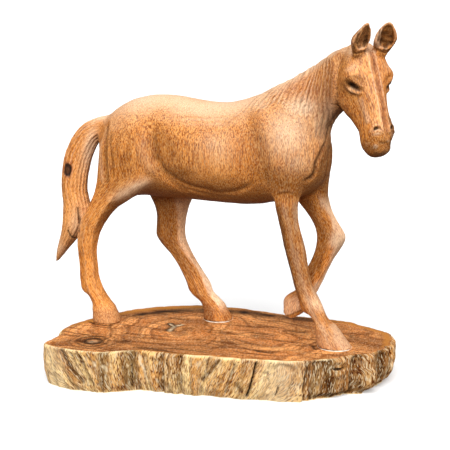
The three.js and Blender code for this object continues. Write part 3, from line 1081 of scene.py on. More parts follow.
    def model_body(self, surface: Surface) -> None:
        """Raises the muscles and the smaller swellings, and leaves the low marks of the gouge."""
        points = surface.points
        heights = np.zeros(len(points))
        for side in Side:
            facing = self.facing(surface, side)
            for muscle in self.muscles:
                shift = self.far_hind_shift if muscle.hind and side is Side.FAR else 0.0
                along = (points[:, 0] - muscle.middle[0] - shift) / muscle.half_size[0]
                up = (points[:, 2] - muscle.middle[1]) / muscle.half_size[1]
                heights += facing * muscle.rise * np.exp(-(along**2) - up**2)
        places = [(lump, np.array(lump.middle)) for lump in self.lumps]
        places += [(lump, self.head.world(lump.middle)) for lump in self.head_lumps]
        for lump, middle in places:
            heights += lump.rise * hill(np.linalg.norm(points - middle, axis=1), lump.radius)
        heights += 0.16 * wander(points, 9, 1) + 0.1 * wander(points, 4.5, 2)
        surface.lift(heights)

    def cut_grooves(self, surface: Surface) -> None:
        """Cuts the creases and valleys of the body, plainer on the far side."""
        body = np.flatnonzero((surface.points[:, 2] > 112.0) & (surface.points[:, 0] < 118.0))
        points = surface.points[body]
        flat = points[:, (0, 2)] + 0.7 * np.stack((wander(points, 7, 3), wander(points, 7, 4)), axis=1)
        heights = np.zeros(len(body))
        for side, share in ((Side.NEAR, 1.0), (Side.FAR, 0.7)):
            facing = self.facing(surface, side)[body]
            solid = np.column_stack((flat[:, 0], points[:, 1] * -side.value, flat[:, 1]))
            for groove in self.grooves:
                shift = self.far_hind_shift if groove.hind and side is Side.FAR else 0.0
                in_space = len(groove.run[0]) == 3
                gap, along = off_run(solid if in_space else flat - (shift, 0.0), groove.run)
                ends = min(0.4, 0.06 + 0.05 * groove.half_width)
                fade = band(along, 0, ends, 1 - ends, 1) * share
                fade = fade if in_space else fade * facing
                cut = hill(gap, groove.half_width) * fade
                heights -= groove.depth * cut
                valley = hill(gap, max(1.5 * groove.half_width, 4)) * fade
                # painted deep shade in each cut, painted shade over its valley and painted highlight on a
                # ridge
                stain, shade, bleach = groove.stain * cut, groove.shade * valley, groove.pale * cut
                self.tones.deepen(body, stain=stain, shade=shade, bleach=bleach)
        surface.lift(heights, body)

    def comb_mane(self, surface: Surface) -> None:
        """Cuts the strands of the mane, which fall back near the withers and straight near the head."""
        x, _, z = surface.points.T
        chosen = np.flatnonzero((x > 0.0) & (z > 150.0) & (self.in_head(surface.points) < 0.95))
        points = surface.points[chosen]
        x, y, _ = points.T
        flat = points[:, (0, 2)]
        curve = smooth_run(self.crest, 10)
        steps = np.linalg.norm(np.diff(curve, axis=0), axis=1)
        slope = np.arctan2(*np.gradient(curve, axis=0).T[::-1])
        low, high = self.fall_angles
        angle = np.radians(low + (high - low) * ramp(34, 108, curve[:, 0]))
        density = np.sin(np.maximum(angle - slope, 0.2)) / self.strand_pitch
        phase = np.concatenate(([0.0], np.cumsum(steps * density[1:])))
        # each point lies between two of the falling lines that leave the crest
        away = flat[:, None, :] - curve[None, :, :]
        signed = away[:, :, 0] * np.sin(angle) - away[:, :, 1] * np.cos(angle)
        index = np.clip((signed > 0).sum(axis=1), 1, len(curve) - 1)
        rows = np.arange(len(flat))
        before, after = signed[rows, index - 1], signed[rows, index]
        share = np.clip(before / np.where(before == after, 1.0, before - after), 0.0, 1.0)
        strand = phase[index - 1] + share * (phase[index] - phase[index - 1])
        root = curve[index - 1] + share[:, None] * (curve[index] - curve[index - 1])
        reach = index / (len(curve) - 1)
        short, long = self.fall_lengths
        longest = short + (long - short) * ramp(0.45, 0.95, reach)
        down = np.linalg.norm(flat - root, axis=1)
        fallen = down / (longest * (1 + 0.18 * wander(points, 9, 13)))
        between = (signed[:, 0] > 0) & (signed[:, -1] < 0)
        mask = between * ramp(1.05, 0.65, fallen) * ramp(0, 0.1, reach)
        mask *= 1.0 - self.in_head(points)
        strand += 0.8 * wander(points, 16, 5) + 0.25 * wander(points, 6, 6)
        uneven = 0.55 + 0.45 * wander(points * (1, 1, 0.3), 5, 7)
        ridge = np.abs(np.sin(math.pi * strand)) ** 0.8
        # painted deep shade between the strands and shade near the head, painted highlight on their ridges,
        # and a red tint
        self.tones.deepen(
            chosen,
            stain=0.8 * mask * uneven * (1.0 - ridge) ** 1.5,
            bleach=0.8 * mask * ramp(0.8, 1, ridge) * uneven,
            rust=0.4 * mask * ramp(30, 70, x) * band(fallen, 0.05, 0.3, 0.45, 0.75),
            shade=0.6 * mask * ramp(78, 104, x),
        )
        combed = mask > 0.25
        self.grain[chosen[combed]] = np.column_stack((strand * self.strand_pitch, y, -down))[combed]
        surface.lift(self.strand_relief * mask * uneven * (ridge - 0.6), chosen)

    def comb_tail(self, surface: Surface) -> None:
        """Cuts the strands along the tail, and its dark knot and cracks."""
        chosen = np.flatnonzero((surface.points[:, 0] < -112.0) & (surface.points[:, 2] > 45.0))
        points = surface.points[chosen]
        flat = points[:, (0, 2)]
        curve = smooth_run(self.tail_line)
        tangent = np.gradient(curve, axis=0)
        tangent /= np.linalg.norm(tangent, axis=1)[:, None]
        _, along = off_run(flat, self.tail_line)

        def at(values: Sequence[float]) -> np.ndarray:
            """The values, given evenly along the tail's line, at each chosen point."""
            return np.interp(along, np.linspace(0.0, 1.0, len(values)), values)

        aside, above = flat.T - np.stack([at(values) for values in curve.T])
        ahead, rise = (at(values) for values in tangent.T)
        depth = (above * ahead - aside * rise) / at(self.tail_depth)
        across = (points[:, 1] - at(self.tail_across)) / at(self.tail_side)
        inside = ramp(1.18, 1, np.hypot(depth, across)) * ramp(0.06, 0.2, along)
        strand = np.arctan2(across, depth) / math.tau * self.tail_strands
        combed = inside > 0.3
        lengthwise = (strand / self.tail_strands * self.tail_girth, 0.0 * along, -along * self.tail_length)
        self.grain[chosen[combed]] = np.column_stack(lengthwise)[combed]
        strand += 0.4 * wander(points, 20, 8) + 0.14 * wander(points, 6, 9)
        ridge = np.abs(np.sin(math.pi * strand)) ** 0.8
        uneven = 0.6 + 0.4 * wander(points * (1, 1, 0.3), 6, 10)
        heights = self.tail_relief * inside * uneven * (ridge - 0.6)
        near = ramp(-4, -9, points[:, 1])
        knot = np.hypot(*((flat - self.tail_knot) / self.tail_knot_size).T) + 0.2 * wander(points, 3, 14)
        heart = 0.5 + 0.5 * np.cos(9 * knot + 2 * wander(points, 4, 47))
        join, _ = off_run(flat, self.tail_join)
        split, _ = off_run(flat, self.tail_split)
        heights -= near * ramp(1.1, 0.8, knot) * (0.7 + 0.3 * heart)
        heights -= near * (1.2 * hill(join, 1.2) + 0.9 * hill(split, 0.9))
        charred = ramp(1.15, 0.85, knot) * (0.8 + 0.15 * heart)
        # painted deep shade between the strands and in the join with the leg, painted highlight on the
        # ridges, the knot black and red, and the split painted black as shade
        self.tones.deepen(
            chosen,
            stain=np.maximum(0.6 * inside * uneven * (1 - ridge) ** 1.6, 0.8 * near * hill(join, 1.2)),
            bleach=0.4 * inside * uneven * ramp(0.8, 1, ridge),
            char=near * np.maximum(charred, 0.8 * hill(split, 1)),
            rust=0.8 * near * ramp(1.6, 1, knot),
        )
        surface.lift(heights, chosen)

    def carve_face(self, surface: Surface) -> None:
        """Cuts the eyes, nostrils, lips, jaw lines and the stripe down the face."""
        chosen = np.flatnonzero(self.in_head(surface.points) > 0.01)
        points = surface.points[chosen]
        local = self.head.local(points)
        x, y, z = local.T
        profile = local[:, (0, 2)]
        head = self.in_head(points)
        forward, outward, _ = (surface.normals[chosen] @ self.head.axes()).T
        front = head * ramp(0.25, 0.6, forward) * ramp(-79, -72, z)
        stripe = front * hill(y - 1.3 + 0.9 * wander(points, 12, 11), 2.3)
        stripe *= 0.8 + 0.4 * wander(points, 6, 19)
        ridges = front * (hill(y + 2.8, 0.9) + hill(y - 4, 0.9))
        plane = head * ramp(0.4, 0.75, forward) * ramp(-80, -70, z) * ramp(2, -1, y)
        beyond = head * ramp(3, 8, y)
        lip = head * ramp(0.1, 0.5, forward) * ramp(6, 3, np.abs(y + 1.5))
        lip *= hill(z + 83 + 1.4 * wander(points, 4, 15), 1.1)
        lumps = wander(points, 4, 48)
        bumpy = head * ramp(0, 0.5, forward) * ramp(-70, -74, z)
        heights = 0.6 * ridges - 0.7 * stripe - 0.6 * lip + 0.7 * bumpy * lumps
        muzzle = 0.65 * head * ramp(-68, -86, z)
        # painted deep shade down the stripe, in the lip and low on the far side, painted shade low on the
        # muzzle and over the far side, painted highlight on the ridges by the stripe and on the face's front
        # plane, and a red tint in the stripe
        self.tones.deepen(
            chosen,
            stain=np.maximum.reduce((0.5 * stripe, 0.5 * lip, 0.3 * beyond * ramp(-62, -70, z))),
            shade=np.maximum(muzzle, beyond * (0.2 + 0.6 * ramp(-60, -68, z))),
            rust=0.9 * stripe,
            bleach=np.maximum(0.5 * np.minimum(ridges, 1.0), 0.15 * plane) * (1.0 - stripe),
        )
        # painted highlight on the knobs of the muzzle
        self.tones.deepen(chosen, bleach=0.6 * bumpy * ramp(0.25, 0.7, lumps))
        for side in Side:
            sign = side.value
            mirror = (1.0, sign, 1.0)
            mine = head * ramp(-1, 1.5, y * sign)
            heights += self.cut_eye(local, mine, sign, chosen)
            nostril = local - np.multiply(self.nostril, mirror)
            arch = nostril[:, 2] + 0.14 * nostril[:, 1] ** 2
            wing = np.hypot(nostril[:, 1] / 2.5, arch / 1.15) + 0.25 * wander(points, 2, 49)
            tip = mine * ramp(9, 6, np.linalg.norm(nostril, axis=1))
            heights += tip * (0.5 * hill(wing - 2.2, 0.7) - 1.4 * ramp(1.3, 0.5, wing))
            # the nostril painted black and dark as shade in its hollow, with painted highlight below it
            self.tones.deepen(
                chosen,
                char=0.65 * tip * ramp(1.1, 0.4, wing),
                stain=0.4 * tip * ramp(1.7, 0.9, wing),
                bleach=0.6 * tip * hill(nostril[:, 2] + 4.5, 1.5) * hill(nostril[:, 1], 3),
            )
            beside = mine * ramp(0.1, 0.4, outward * sign)
            for run, depth, width, dark in self.face_lines:
                gap, share = off_run(profile, run)
                cut = beside * hill(gap, width) * band(share, 0, 0.1, 0.85, 1)
                heights -= depth * cut
                # painted deep shade in the lips and the jaw lines
                self.tones.deepen(chosen, stain=dark * cut)
            pit = beside * ramp(2, 0.9, np.linalg.norm(profile - self.mouth_corner, axis=1))
            edge, share = off_run(local, np.multiply(self.face_edge, mirror))
            hollow, _ = off_run(local, np.multiply(self.cheek_hollow, mirror))
            fade = mine * band(share, 0, 0.1, 0.85, 1)
            heights += fade * (0.8 * hill(edge, 1.8) - 0.6 * hill(hollow, 2.6)) - 0.8 * pit
            cheek = 0.12 * ramp(-7, -12, x) * ramp(-14, -30, z)
            shaded = 0.9 * (side is Side.FAR) * ramp(-56, -66, z)
            # the mouth's corner painted black as shade in its pit, painted highlight along the face's edge,
            # and painted shade on the cheek and low on the far side
            self.tones.deepen(
                chosen,
                char=0.8 * pit,
                bleach=0.4 * fade * hill(edge, 4),
                shade=beside * np.maximum(cheek, shaded),
            )
        self.grain[chosen] = local
        surface.lift(heights, chosen)

    def cut_eye(self, local: np.ndarray, mine: np.ndarray, sign: int, chosen: np.ndarray) -> np.ndarray:
        """Cuts one eye: a half-closed almond under a heavy brow.

        Args:
            local: The head's points in its own frame.
            mine: How far each belongs to this side of the head.
            sign: The side's sign.
            chosen: Where these points stand among the horse's.

        Returns:
            How far each point is lifted.
        """
        mirror = (1.0, sign, 1.0)
        along = np.multiply(self.eye_line, mirror) / self.eye_reach
        up = np.cross(along, np.multiply(self.eye_out, mirror)) * -sign
        off = local - np.multiply(self.eye, mirror)
        length, height = off @ along, off @ up
        bow = length**2
        close = mine * ramp(13, 8, np.linalg.norm(off, axis=1))
        rough = wander(local, 1.8, 50)
        lens = np.hypot(length / 6.2, (height - 0.6 + 0.025 * bow) / 1.7) + 0.2 * rough
        brow = hill(height - 4.4 + 0.03 * bow, 1.7) * hill(length, 8)
        lid = hill(height - 1.8 + 0.02 * bow, 0.8) * hill(length, 7.5)
        crease = hill(height + 3.4 + 0.25 * length, 0.8) * hill(length + 2, 3.5)
        under = hill(height + 6 - 0.02 * bow, 2) * hill(length - 0.5, 7)
        # painted shade under the eye, its slit and lid painted black, painted deep shade round it and in the
        # crease below, and painted highlight on the brow
        self.tones.deepen(
            chosen,
            shade=0.5 * close * under,
            char=close * np.maximum(ramp(1, 0.6, lens) * (0.8 + 0.2 * rough), 0.75 * lid),
            stain=close * np.maximum(0.5 * ramp(2, 0.9, lens), 0.2 * crease),
            bleach=0.4 * close * hill(height - 4.8 + 0.03 * bow, 1.3) * hill(length, 7),
        )
        return close * (1.8 * brow - 0.9 * ramp(1.5, 0.4, lens) - 0.6 * lid - 0.1 * crease - 0.9 * under)

    def carve_ears(self, surface: Surface) -> None:
        """Leans and hollows the ears, with a dark cut inside one rim and a ragged crease at the root."""
        local = self.head.local(surface.points)
        x, _, z = local.T
        chosen = np.flatnonzero((z > -12.0) & (x > -16.0) & (surface.points[:, 2] > 235.0))
        local = local[chosen]
        turned = surface.normals[chosen] @ self.head.axes()
        tilt, view = math.radians(self.ear_tilt), math.radians(VIEW_AZIMUTH)
        sideways = np.array((math.cos(view), math.sin(view), 0.0))
        rough = 0.5 + 0.5 * wander(surface.points[chosen], 2.6, 16)
        heights = np.zeros(len(chosen))
        moved = np.zeros(len(chosen))
        for ear in self.ears:
            sign = ear.side.value
            axis = np.array((math.sin(tilt), 0.04 * sign, math.cos(tilt)))
            mouth = np.array((math.cos(tilt), -0.3 * sign, -math.sin(tilt))) / 1.044
            off = local - np.multiply(self.ear_root, (1.0, sign, 1.0))
            rise = off @ axis
            right = off @ (sideways @ self.head.axes())
            opened = turned @ mouth
            mine = ramp(-1, 1, local[:, 1] * sign)
            above = np.clip(rise / self.ear_length, 0.0, 1.2)
            edge = ramp(0, 7, right * math.copysign(1, ear.spread))
            moved += mine * (ear.lean * above**1.5 + ear.spread * edge * hill(rise - 13, 9) * (above > 0))
            inner = ramp(0, 0.4, opened) * mine
            below_tip = ramp(26.5, 22, rise)
            middle, reach = ear.bowl
            bowl = inner * ramp(6, 11, rise + 3 * rough) * below_tip
            bowl *= ramp(reach + 1, reach - 1, np.abs(right - middle))
            rim = inner * hill(right + 4 - 0.05 * rise, 1) * ramp(7, 12, rise) * below_tip
            root = inner * hill(rise - 0.8 - 3 * (rough - 0.5), 1.1) * ramp(9.5, 7.5, np.abs(right))
            lower = inner * band(rise, 0, 3, 8, 12)
            heights -= bowl * (1.0 + 0.8 * rough) + 0.8 * rim + 0.9 * root + 0.9 * lower * rough
            back = mine * ramp(0.1, -0.4, opened) * ramp(-2, 4, rise)
            outer = 0.55 * (ear.side is Side.FAR) * inner * ramp(0.5, -1.5, right)
            brim = 0.45 * mine * hill(opened - 0.15, 0.35)
            pits = 0.6 * lower * ramp(0.55, 0.8, rough)
            # painted shade in each hollow and on the ear's back, painted highlight along the rims, and
            # painted deep shade in the hollow, the rim cut, the root crease and the low pits
            self.tones.deepen(
                chosen,
                shade=np.maximum(0.7 * bowl, 0.6 * back),
                bleach=ramp(2, 7, rise) * np.maximum(outer, brim),
                stain=np.maximum.reduce((0.55 * bowl * rough, 0.85 * rim, 0.5 * root, pits)),
            )
        surface.points[chosen] += moved[:, None] * sideways
        surface.settle()
        surface.lift(heights, chosen)

    def facet_legs(self, surface: Surface) -> None:
        """Leaves the long flats of the knife on each leg."""
        points = surface.points
        x, y, z = points.T
        heights = np.zeros(len(points))
        step = math.tau / self.leg_flats
        for seed, leg in enumerate(self.legs):
            mine, fore, _ = leg.place(points)
            upward = points * (0.0, 0.0, 1.0) + 50.0 * seed
            turn = np.arctan2(y - self.leg_across * leg.side.value, fore * leg.half_depth)
            turn += 0.5 * wander(upward, 38, 46)
            flat = math.cos(0.5 * step) / np.cos(np.mod(turn, step) - 0.5 * step) - 0.95
            heights += mine * ramp(14, 26, z) * leg.half_depth * flat
        heights[x < -141.0] = 0.0
        surface.lift(heights)

    def cut_hooves(self, surface: Surface) -> None:
        """Cuts the line round the top of each hoof, and the thin pastern and flat sole of the lifted one."""
        points = surface.points
        x, y, z = points.T
        heights = np.zeros(len(points))
        for middle, across, height, rise, pale in self.hoof_tops:
            mine = ramp(34, 28, np.hypot(x - middle, y - across)) * ramp(26, 20, z)
            above = z - height - rise * (x - middle) + 0.6 * wander(points, 6, 17)
            heights += mine * (0.25 * hill(above - 1.5, 2.2) - 0.2 * hill(above + 1.5, 1.2))
            self.tones.deepen(bleach=pale * mine * ramp(10, -6, above))
        lifted = ramp(20, 16, np.hypot(x - 58, z - 20)) * ramp(4, 8, y)
        sole = (x - 52.0) * -0.4 + (z - 8.5) * 0.92
        mine, fore, _ = self.far_fore.place(points)
        surface.points[:, 0] += 4.5 * mine * hill(z - 38, 7) * ramp(0.2, -0.7, fore)
        surface.points[:, 2] += lifted * np.clip(-sole, 0.0, 6.0)
        surface.settle()
        # painted deep shade in the line above the lifted hoof's sole, painted shade on the sole, and a paler
        # band above the line
        self.tones.deepen(
            stain=0.6 * lifted * hill(sole - 3.6, 0.9),
            shade=0.5 * lifted * ramp(3.8, 3, sole),
            bleach=0.4 * lifted * band(sole, 3.4, 4.4, 16, 24),
        )
        surface.lift(heights - 0.5 * lifted * hill(sole - 3.6, 0.7))

    def tone_legs(self, surface: Surface) -> None:
        """Lays the grain along each leg, and paints lengthwise bands of shade and highlight down it."""
        points = surface.points
        x, _, z = points.T
        on_leg = x > self.leg_rear
        lengthwise = 0.25 * wander(points * (1, 1, 0.15), 4, 18)
        places = []
        for leg in self.legs:
            mine, fore, shift = leg.place(points)
            chosen = (mine > 0.02) & on_leg
            self.grain[chosen, 0] = x[chosen] - shift[chosen]
            places.append((mine, fore, fore + lengthwise))
        near_fore, far_fore, near_hind, far_hind = places
        hoof = ramp(16, 8, z)
        high = ramp(30, 60, z)
        above_hoof = ramp(26, 40, z)
        mine, fore, waving = near_fore
        below = mine * ramp(138, 118, z)
        rear = ramp(0.05, -0.6, waving) * above_hoof
        # near fore: painted shade down its rear and low on the pastern, painted deep shade in streaks on its
        # rear, and painted highlight down its front and at the fetlock
        self.tones.deepen(
            shade=np.maximum(below * (0.65 * high + 0.3 * rear), 0.35 * mine * ramp(38, 24, z)),
            stain=0.45 * below * rear * ramp(0, 0.5, lengthwise * 4),
            bleach=np.maximum.reduce((
                0.45 * below * hill(fore - 0.15 + lengthwise, 0.3),
                0.5 * below * ramp(0.7, 1, waving),
                0.5 * mine * hill(z - 40, 9) * ramp(-0.4, 0.1, fore),
            )),
        )
        mine, fore, waving = far_fore
        knee = np.hypot(x - 103.0, z - 88.0)
        front = above_hoof * ramp(0.7, 1, waving)
        # far fore: painted shade down its rear, and painted highlight on the knee and down the front
        self.tones.deepen(
            shade=0.75 * mine * above_hoof * ramp(0.7, 0.1, fore + 1.6 * lengthwise),
            bleach=mine * np.maximum(0.75 * ramp(15, 5, knee), 0.6 * front),
        )
        mine, _, waving = far_hind
        front = ramp(0.7, 1, waving) * ramp(4, 20, z)
        heel = mine * ramp(20, 14, z) * ramp(0.5, 0, waving)
        browned = (0.35 + 0.4 * high) * ramp(1, 0.65, waving)
        # far hind: painted shade on most of it and on the hoof and heel, painted highlight down its front,
        # and a red heel
        self.tones.deepen(
            shade=np.maximum.reduce((mine * browned, 0.35 * mine * hoof, 0.75 * heel)),
            bleach=0.8 * mine * front * (1.0 - 0.4 * high),
            rust=0.8 * heel,
        )
        mine, _, waving = near_hind
        # near hind: painted shade low down, and a warm painted highlight down its front
        self.tones.deepen(shade=0.4 * mine * hoof, glow=0.45 * mine * ramp(-0.9, 0.3, waving) * on_leg)

    def tone_body(self, surface: Surface) -> None:
        """Paints shade where the body turns from the light or lies hollow, and highlight where it is lit."""
        points = surface.points
        x, y, z = points.T
        ahead, across, upward = surface.normals.T
        reach = 4.0 / self.voxel**2
        # how far each point stands proud and lies hollow, for painted highlight on ridges and painted shade
        # in hollows
        worn = ramp(0.15, 0.8, -surface.hollows(round(1.6 * reach)))
        oiled = ramp(0.15, 1.2, surface.hollows(round(5 * reach)))
        top = ramp(0.25, 0.95, upward) * ramp(150, 190, z)
        high = ramp(60, 100, z)
        under = ramp(-0.05, -0.7, upward)
        inner = ramp(0, 0.5, across * -np.sign(y)) * ramp(150, 120, z)
        crease = np.interp(z, *np.array(self.breast_width).T)
        between = ramp(2, -2, np.abs(y) - crease) * (1 - self.in_head(points))
        breast = between * ramp(0.3, 0.85, ahead) * ramp(74, 86, x)
        breast *= band(z, 112, 130, 176, 190)
        throat = between * ramp(0.45, 0.8, ahead) * ramp(82, 92, x)
        throat *= band(z, 176, 190, 224, 236)
        # painted deep shade in hollows and on the throat, painted highlight on ridges and over the top of
        # the back, and painted shade under the body, on the inner sides and on the breast
        self.tones.deepen(
            stain=np.maximum(0.75 * oiled, 0.2 * throat),
            bleach=np.maximum(0.3 * worn, top * (0.675 + 0.175 * wander(points, 26, 12))),
            shade=np.maximum.reduce((0.85 * high * under, 0.45 * inner * high, 0.85 * breast)),
        )
        streaks = ramp(-0.25, 0.45, wander(points * (1, 1, 0.1), 2.2, 51))
        sides = np.maximum(self.facing(surface, Side.NEAR), self.facing(surface, Side.FAR))
        # lays the patches of painted shade and painted highlight
        for spot in self.patches:
            up = z - spot.middle[1]
            along = x - spot.middle[0] - spot.lean * up
            form = np.exp(-((along / spot.half_size[0]) ** 2) - (up / spot.half_size[1]) ** 2)
            broken = 1.0 - spot.streaked * (1.0 - streaks)
            self.tones.deepen(**{spot.tone: spot.share * sides * form * broken})

    def finish(self, piece: Object) -> None:
        """Thins the plain stretches of the mesh, smooths its shading and gives it its wood."""
        mesh = piece.data
        points = Surface(piece).points
        plain = 1.0 - np.clip(self.in_head(points), 0.0, 1.0)
        plain *= ramp(60, 30, points[:, 0]) + ramp(190, 170, points[:, 2])
        plain = np.clip(plain, 0, 1) * ramp(-128, -118, points[:, 0])
        group = piece.vertex_groups.new(name="plain")
        for level in range(1, 5):
            group.add(np.flatnonzero(np.ceil(plain * 4.0) == level).tolist(), level / 4.0, "REPLACE")
        mesh.calc_loop_triangles()
        activate(piece)
        thin = piece.modifiers.new("thin", "DECIMATE")
        thin.ratio = min(1.0, self.face_limit / len(mesh.loop_triangles))
        thin.vertex_group = group.name
        bpy.ops.object.modifier_apply(modifier=thin.name)
        piece.vertex_groups.clear()
        bpy.ops.object.shade_smooth()
        mesh.materials.clear()
        mesh.materials.append(CarvedHardwood().make())
        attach(piece, "root")
        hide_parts(self.node)


# The slab


@dataclass(frozen=True)
class Flute:
    """A furrow or a rib up the slab's edge.

    Attributes:
        place: Where it crosses the middle of the edge, as x and y.
        half_width: How far along the rim it has mostly run out.
        depth: How deep it is, or how far it stands out where negative.
        lean: How far its foot lies to the right of its middle.
        dark: How much bark is left in it.
    """

    place: Pair
    half_width: float
    depth: float
    lean: float = 0.0
    dark: float = 0.5


@dataclass(frozen=True)
class EdgeMark:
    """A crack or a slanting groove in the front of the slab's edge.

    Attributes:
        run: Where it runs, as x and z.
        half_width: How far from its middle it has mostly run out.
        depth: How deep it is.
        tone: The attribute that it is painted in: flute, scar or chalk.
        share: How strongly it is painted.
    """

    run: Run
    half_width: float
    depth: float
    tone: str
    share: float


@dataclass(frozen=True)
class Knot:
    """A knot in the slab's top: its middle, its radius, how far it pushes the rings and how dark it is."""

    place: Pair
    radius: float
    push: float
    dark: float = 0.7


@dataclass(frozen=True)
class TopMark:
    """A dark crack or streak in the slab's top, or a painted shadow in the gap in front of a hoof.

    Attributes:
        run: Where it runs, as x and y.
        half_width: How far from its middle it has mostly run out.
        depth: How deep it is.
        share: How dark it is.
        pale: How far its middle is filled with pale dust, which leaves its edges dark.
    """

    run: Run
    half_width: float
    depth: float
    share: float
    pale: float = 0.0


@dataclass(frozen=True)
class GlueBead:
    """Glue that was squeezed out under a hoof.

    Attributes:
        middle: The middle of the hoof's sole.
        half_size: The half sizes of the sole.
        towards: The direction in which most of it came out.
    """

    middle: Pair
    half_size: Pair
    towards: Pair


@dataclass
class LiveEdgeSlab:
    """The slab that the horse stands on, with the tree's own outside round its edge."""

    figure_scale = 400.0  # the ring field is kept in the attribute as a share of this many millimetres

    name: str = "live_edge_slab"
    node: str = "base_slab"
    slot: str = "slab_wood"
    middle: Pair = (5.0, -24.0)
    pith: Pair = (-47.0, -18.6)
    thickness: float = 38.0
    spans: int = 7  # columns for each step of the solid's rim
    levels: int = 36
    rings: int = 54
    loose_flutes: int = 50
    fold_pitch: float = 14.0
    # how far the fibres of the front edge slant to the right on their way down, as x and slant
    slants: Run = (
        (-135, 0.2), (-118, 0.6), (-98, 0.6), (-80, 0.1), (-50, 0.0), (-10, -0.1), (12, -0.5), (75, -0.45),
        (95, 0.0), (150, 0.0),
    )
    # the broad lumps of the front edge that have few folds: each one's place along x, half width and share
    plain_lumps: Run = ((73.0, 17.0, 1.0), (-128.0, 14.0, 0.8))
    fold_relief: float = 4.0
    front: float = -35.0  # the rim with y below this is the front edge
    seed: int = 11

    flutes = (
        Flute((-126, -107), 3.0, 1.4, -3.0),
        Flute((-92, -107.5), 2.0, -1.2, 2.0, 0.0),
        Flute((-84, -107.5), 2.5, 1.6, 0.0),
        Flute((-77, -104.7), 2.2, 3.6, 0.0, 0.95),
        Flute((-70, -100.5), 3.5, -1.4, 0.0, 0.0),
        Flute((-65, -97.4), 1.6, 1.8, 0.0, 0.7),
        Flute((-56.5, -92.5), 4.2, 4.6, 0.0, 1.0),
        Flute((-39, -88.5), 3.5, -1.2, 0.0, 0.0),
        Flute((-30.4, -89.5), 2.0, 3.0, -1.0, 0.95),
        Flute((-24, -89), 2.0, -1.0, -1.0, 0.0),
        Flute((-15, -89), 4.2, 3.2, -1.0, 0.85),
        Flute((0, -86), 5.0, -1.2, -1.5, 0.0),
        Flute((20, -82), 5.0, -1.0, -6.0, 0.0),
        Flute((86, -71), 1.8, 1.2, -3.0, 0.4),
        Flute((92.5, -68.3), 1.3, -2.0, 0.0, 0.0),
        Flute((96.5, -65.4), 2.4, 3.6, 0.0, 0.95),
        Flute((106, -61.5), 5.5, 5.4, 0.0, 0.9),
        Flute((113, -58), 4.6, 5.6, 0.0, 1.0),
        Flute((120, -49), 4.0, -2.6, 0.0, 0.0),
        Flute((126, -43.5), 1.8, 2.2, 0.0, 0.8),
        Flute((133, -36.5), 5.0, 6.6, 0.0, 1.0),
        Flute((141, -27.5), 4.0, -2.4, 0.0, 0.0),
        Flute((148.5, -17.5), 4.4, 5.6, 0.0, 1.0),
        Flute((153, -5), 2.6, 2.4, 0.0, 0.8),
    )
    marks = (
        EdgeMark(((-119, 0), (-110, -14), (-98, -33)), 3.0, 3.0, "flute", 0.95),
        EdgeMark(((-104, -1), (-97, -12), (-88, -34)), 2.6, 2.6, "flute", 0.9),
        EdgeMark(((-59, -2), (-58.6, -18), (-59.4, -36)), 0.7, 1.2, "scar", 0.7),
        EdgeMark(((24, -1), (16, -12), (5, -25)), 1.8, 2.0, "flute", 0.85),
        EdgeMark(((37, -4), (32, -18), (27, -35)), 1.8, 1.8, "flute", 0.8),
        EdgeMark(((36, -22), (39.5, -26), (43, -31)), 3.4, 0.8, "flute", 0.8),
        EdgeMark(((55, -1), (52, -18), (47.5, -37)), 1.0, 4.0, "scar", 1.0),
        EdgeMark(((74.5, -23), (73, -28), (72, -33)), 0.8, 1.6, "scar", 0.8),
        EdgeMark(((-50, -3), (-48, -14), (-44, -29)), 0.8, 0.5, "chalk", 0.9),
        EdgeMark(((-80, -12), (-78, -14), (-75.5, -19)), 1.2, 0.4, "chalk", 0.9),
        EdgeMark(((-87.5, -9), (-86, -11), (-85, -13.5)), 1.5, 0.3, "chalk", 0.8),
    )
    # the valleys of the front edge that are painted dark as shade, each as its place along x and its half
    # width
    valleys: Run = ((-78, 4.0), (-59, 8.0), (97, 2.0), (112, 7.5), (134, 5.5), (149, 4.0))
    knob: Point = (141.0, -30.5, -23.0)
    knob_radius: float = 9.5
    scoop: Pair = (78.0, -6.5)  # a hollow in the front edge, as x and z
    scoop_size: Pair = (8.0, 4.0)
    slit: Point = (119.0, -49.5, -9.8)
    knots = (
        Knot((-99, -81), 9.0, 15.0, 1.0),
        Knot((-73, -71), 4.0, 6.0),
        Knot((64.5, 9.4), 5.0, 8.0),
        Knot((-28, -18), 8.0, 10.0, 0.15),
        Knot((118, 12), 5.0, -9.0),
    )
    cracks = (
        # the star of cracks round the pith
        TopMark(((-53, -10), (-50, -14), (-47, -18)), 0.8, 1.4, 0.9, 1.0),
        TopMark(((-47, -18), (-44, -13), (-41, -6)), 0.8, 1.4, 0.9, 1.0),
        TopMark(((-47, -17), (-47, -25), (-45, -33)), 1.0, 1.4, 0.9, 1.0),
        # pits and streaks in front, and dark lines behind the near fore leg
        TopMark(((46, -55), (55, -56.5), (66, -56)), 1.6, 0.9, 0.9),
        TopMark(((30, -63), (52, -64), (74, -61)), 1.0, 0.4, 0.6),
        TopMark(((-58, -84), (-42, -82), (-20, -83)), 1.4, 0.5, 0.75),
        TopMark(((-30, -76), (-8, -74), (14, -75)), 1.1, 0.3, 0.55),
        TopMark(((58, 10), (65, 9), (76, 11)), 2.4, 0.6, 0.8),
        TopMark(((89, -26), (92, -31), (96, -34.5)), 2.0, 0.8, 0.95),
        # the gap cut in front of the near hind hoof, painted dark as its shadow
        TopMark(((-127, -31), (-118, -35), (-108, -35), (-99, -30)), 1.6, 0.8, 0.95),
    )
    glue_beads = (
        GlueBead((108.0, -21.0), (15.2, 13.2), (0.3, -0.95)),
        GlueBead((-17.2, 21.0), (14.0, 13.2), (0.25, -0.97)),
    )

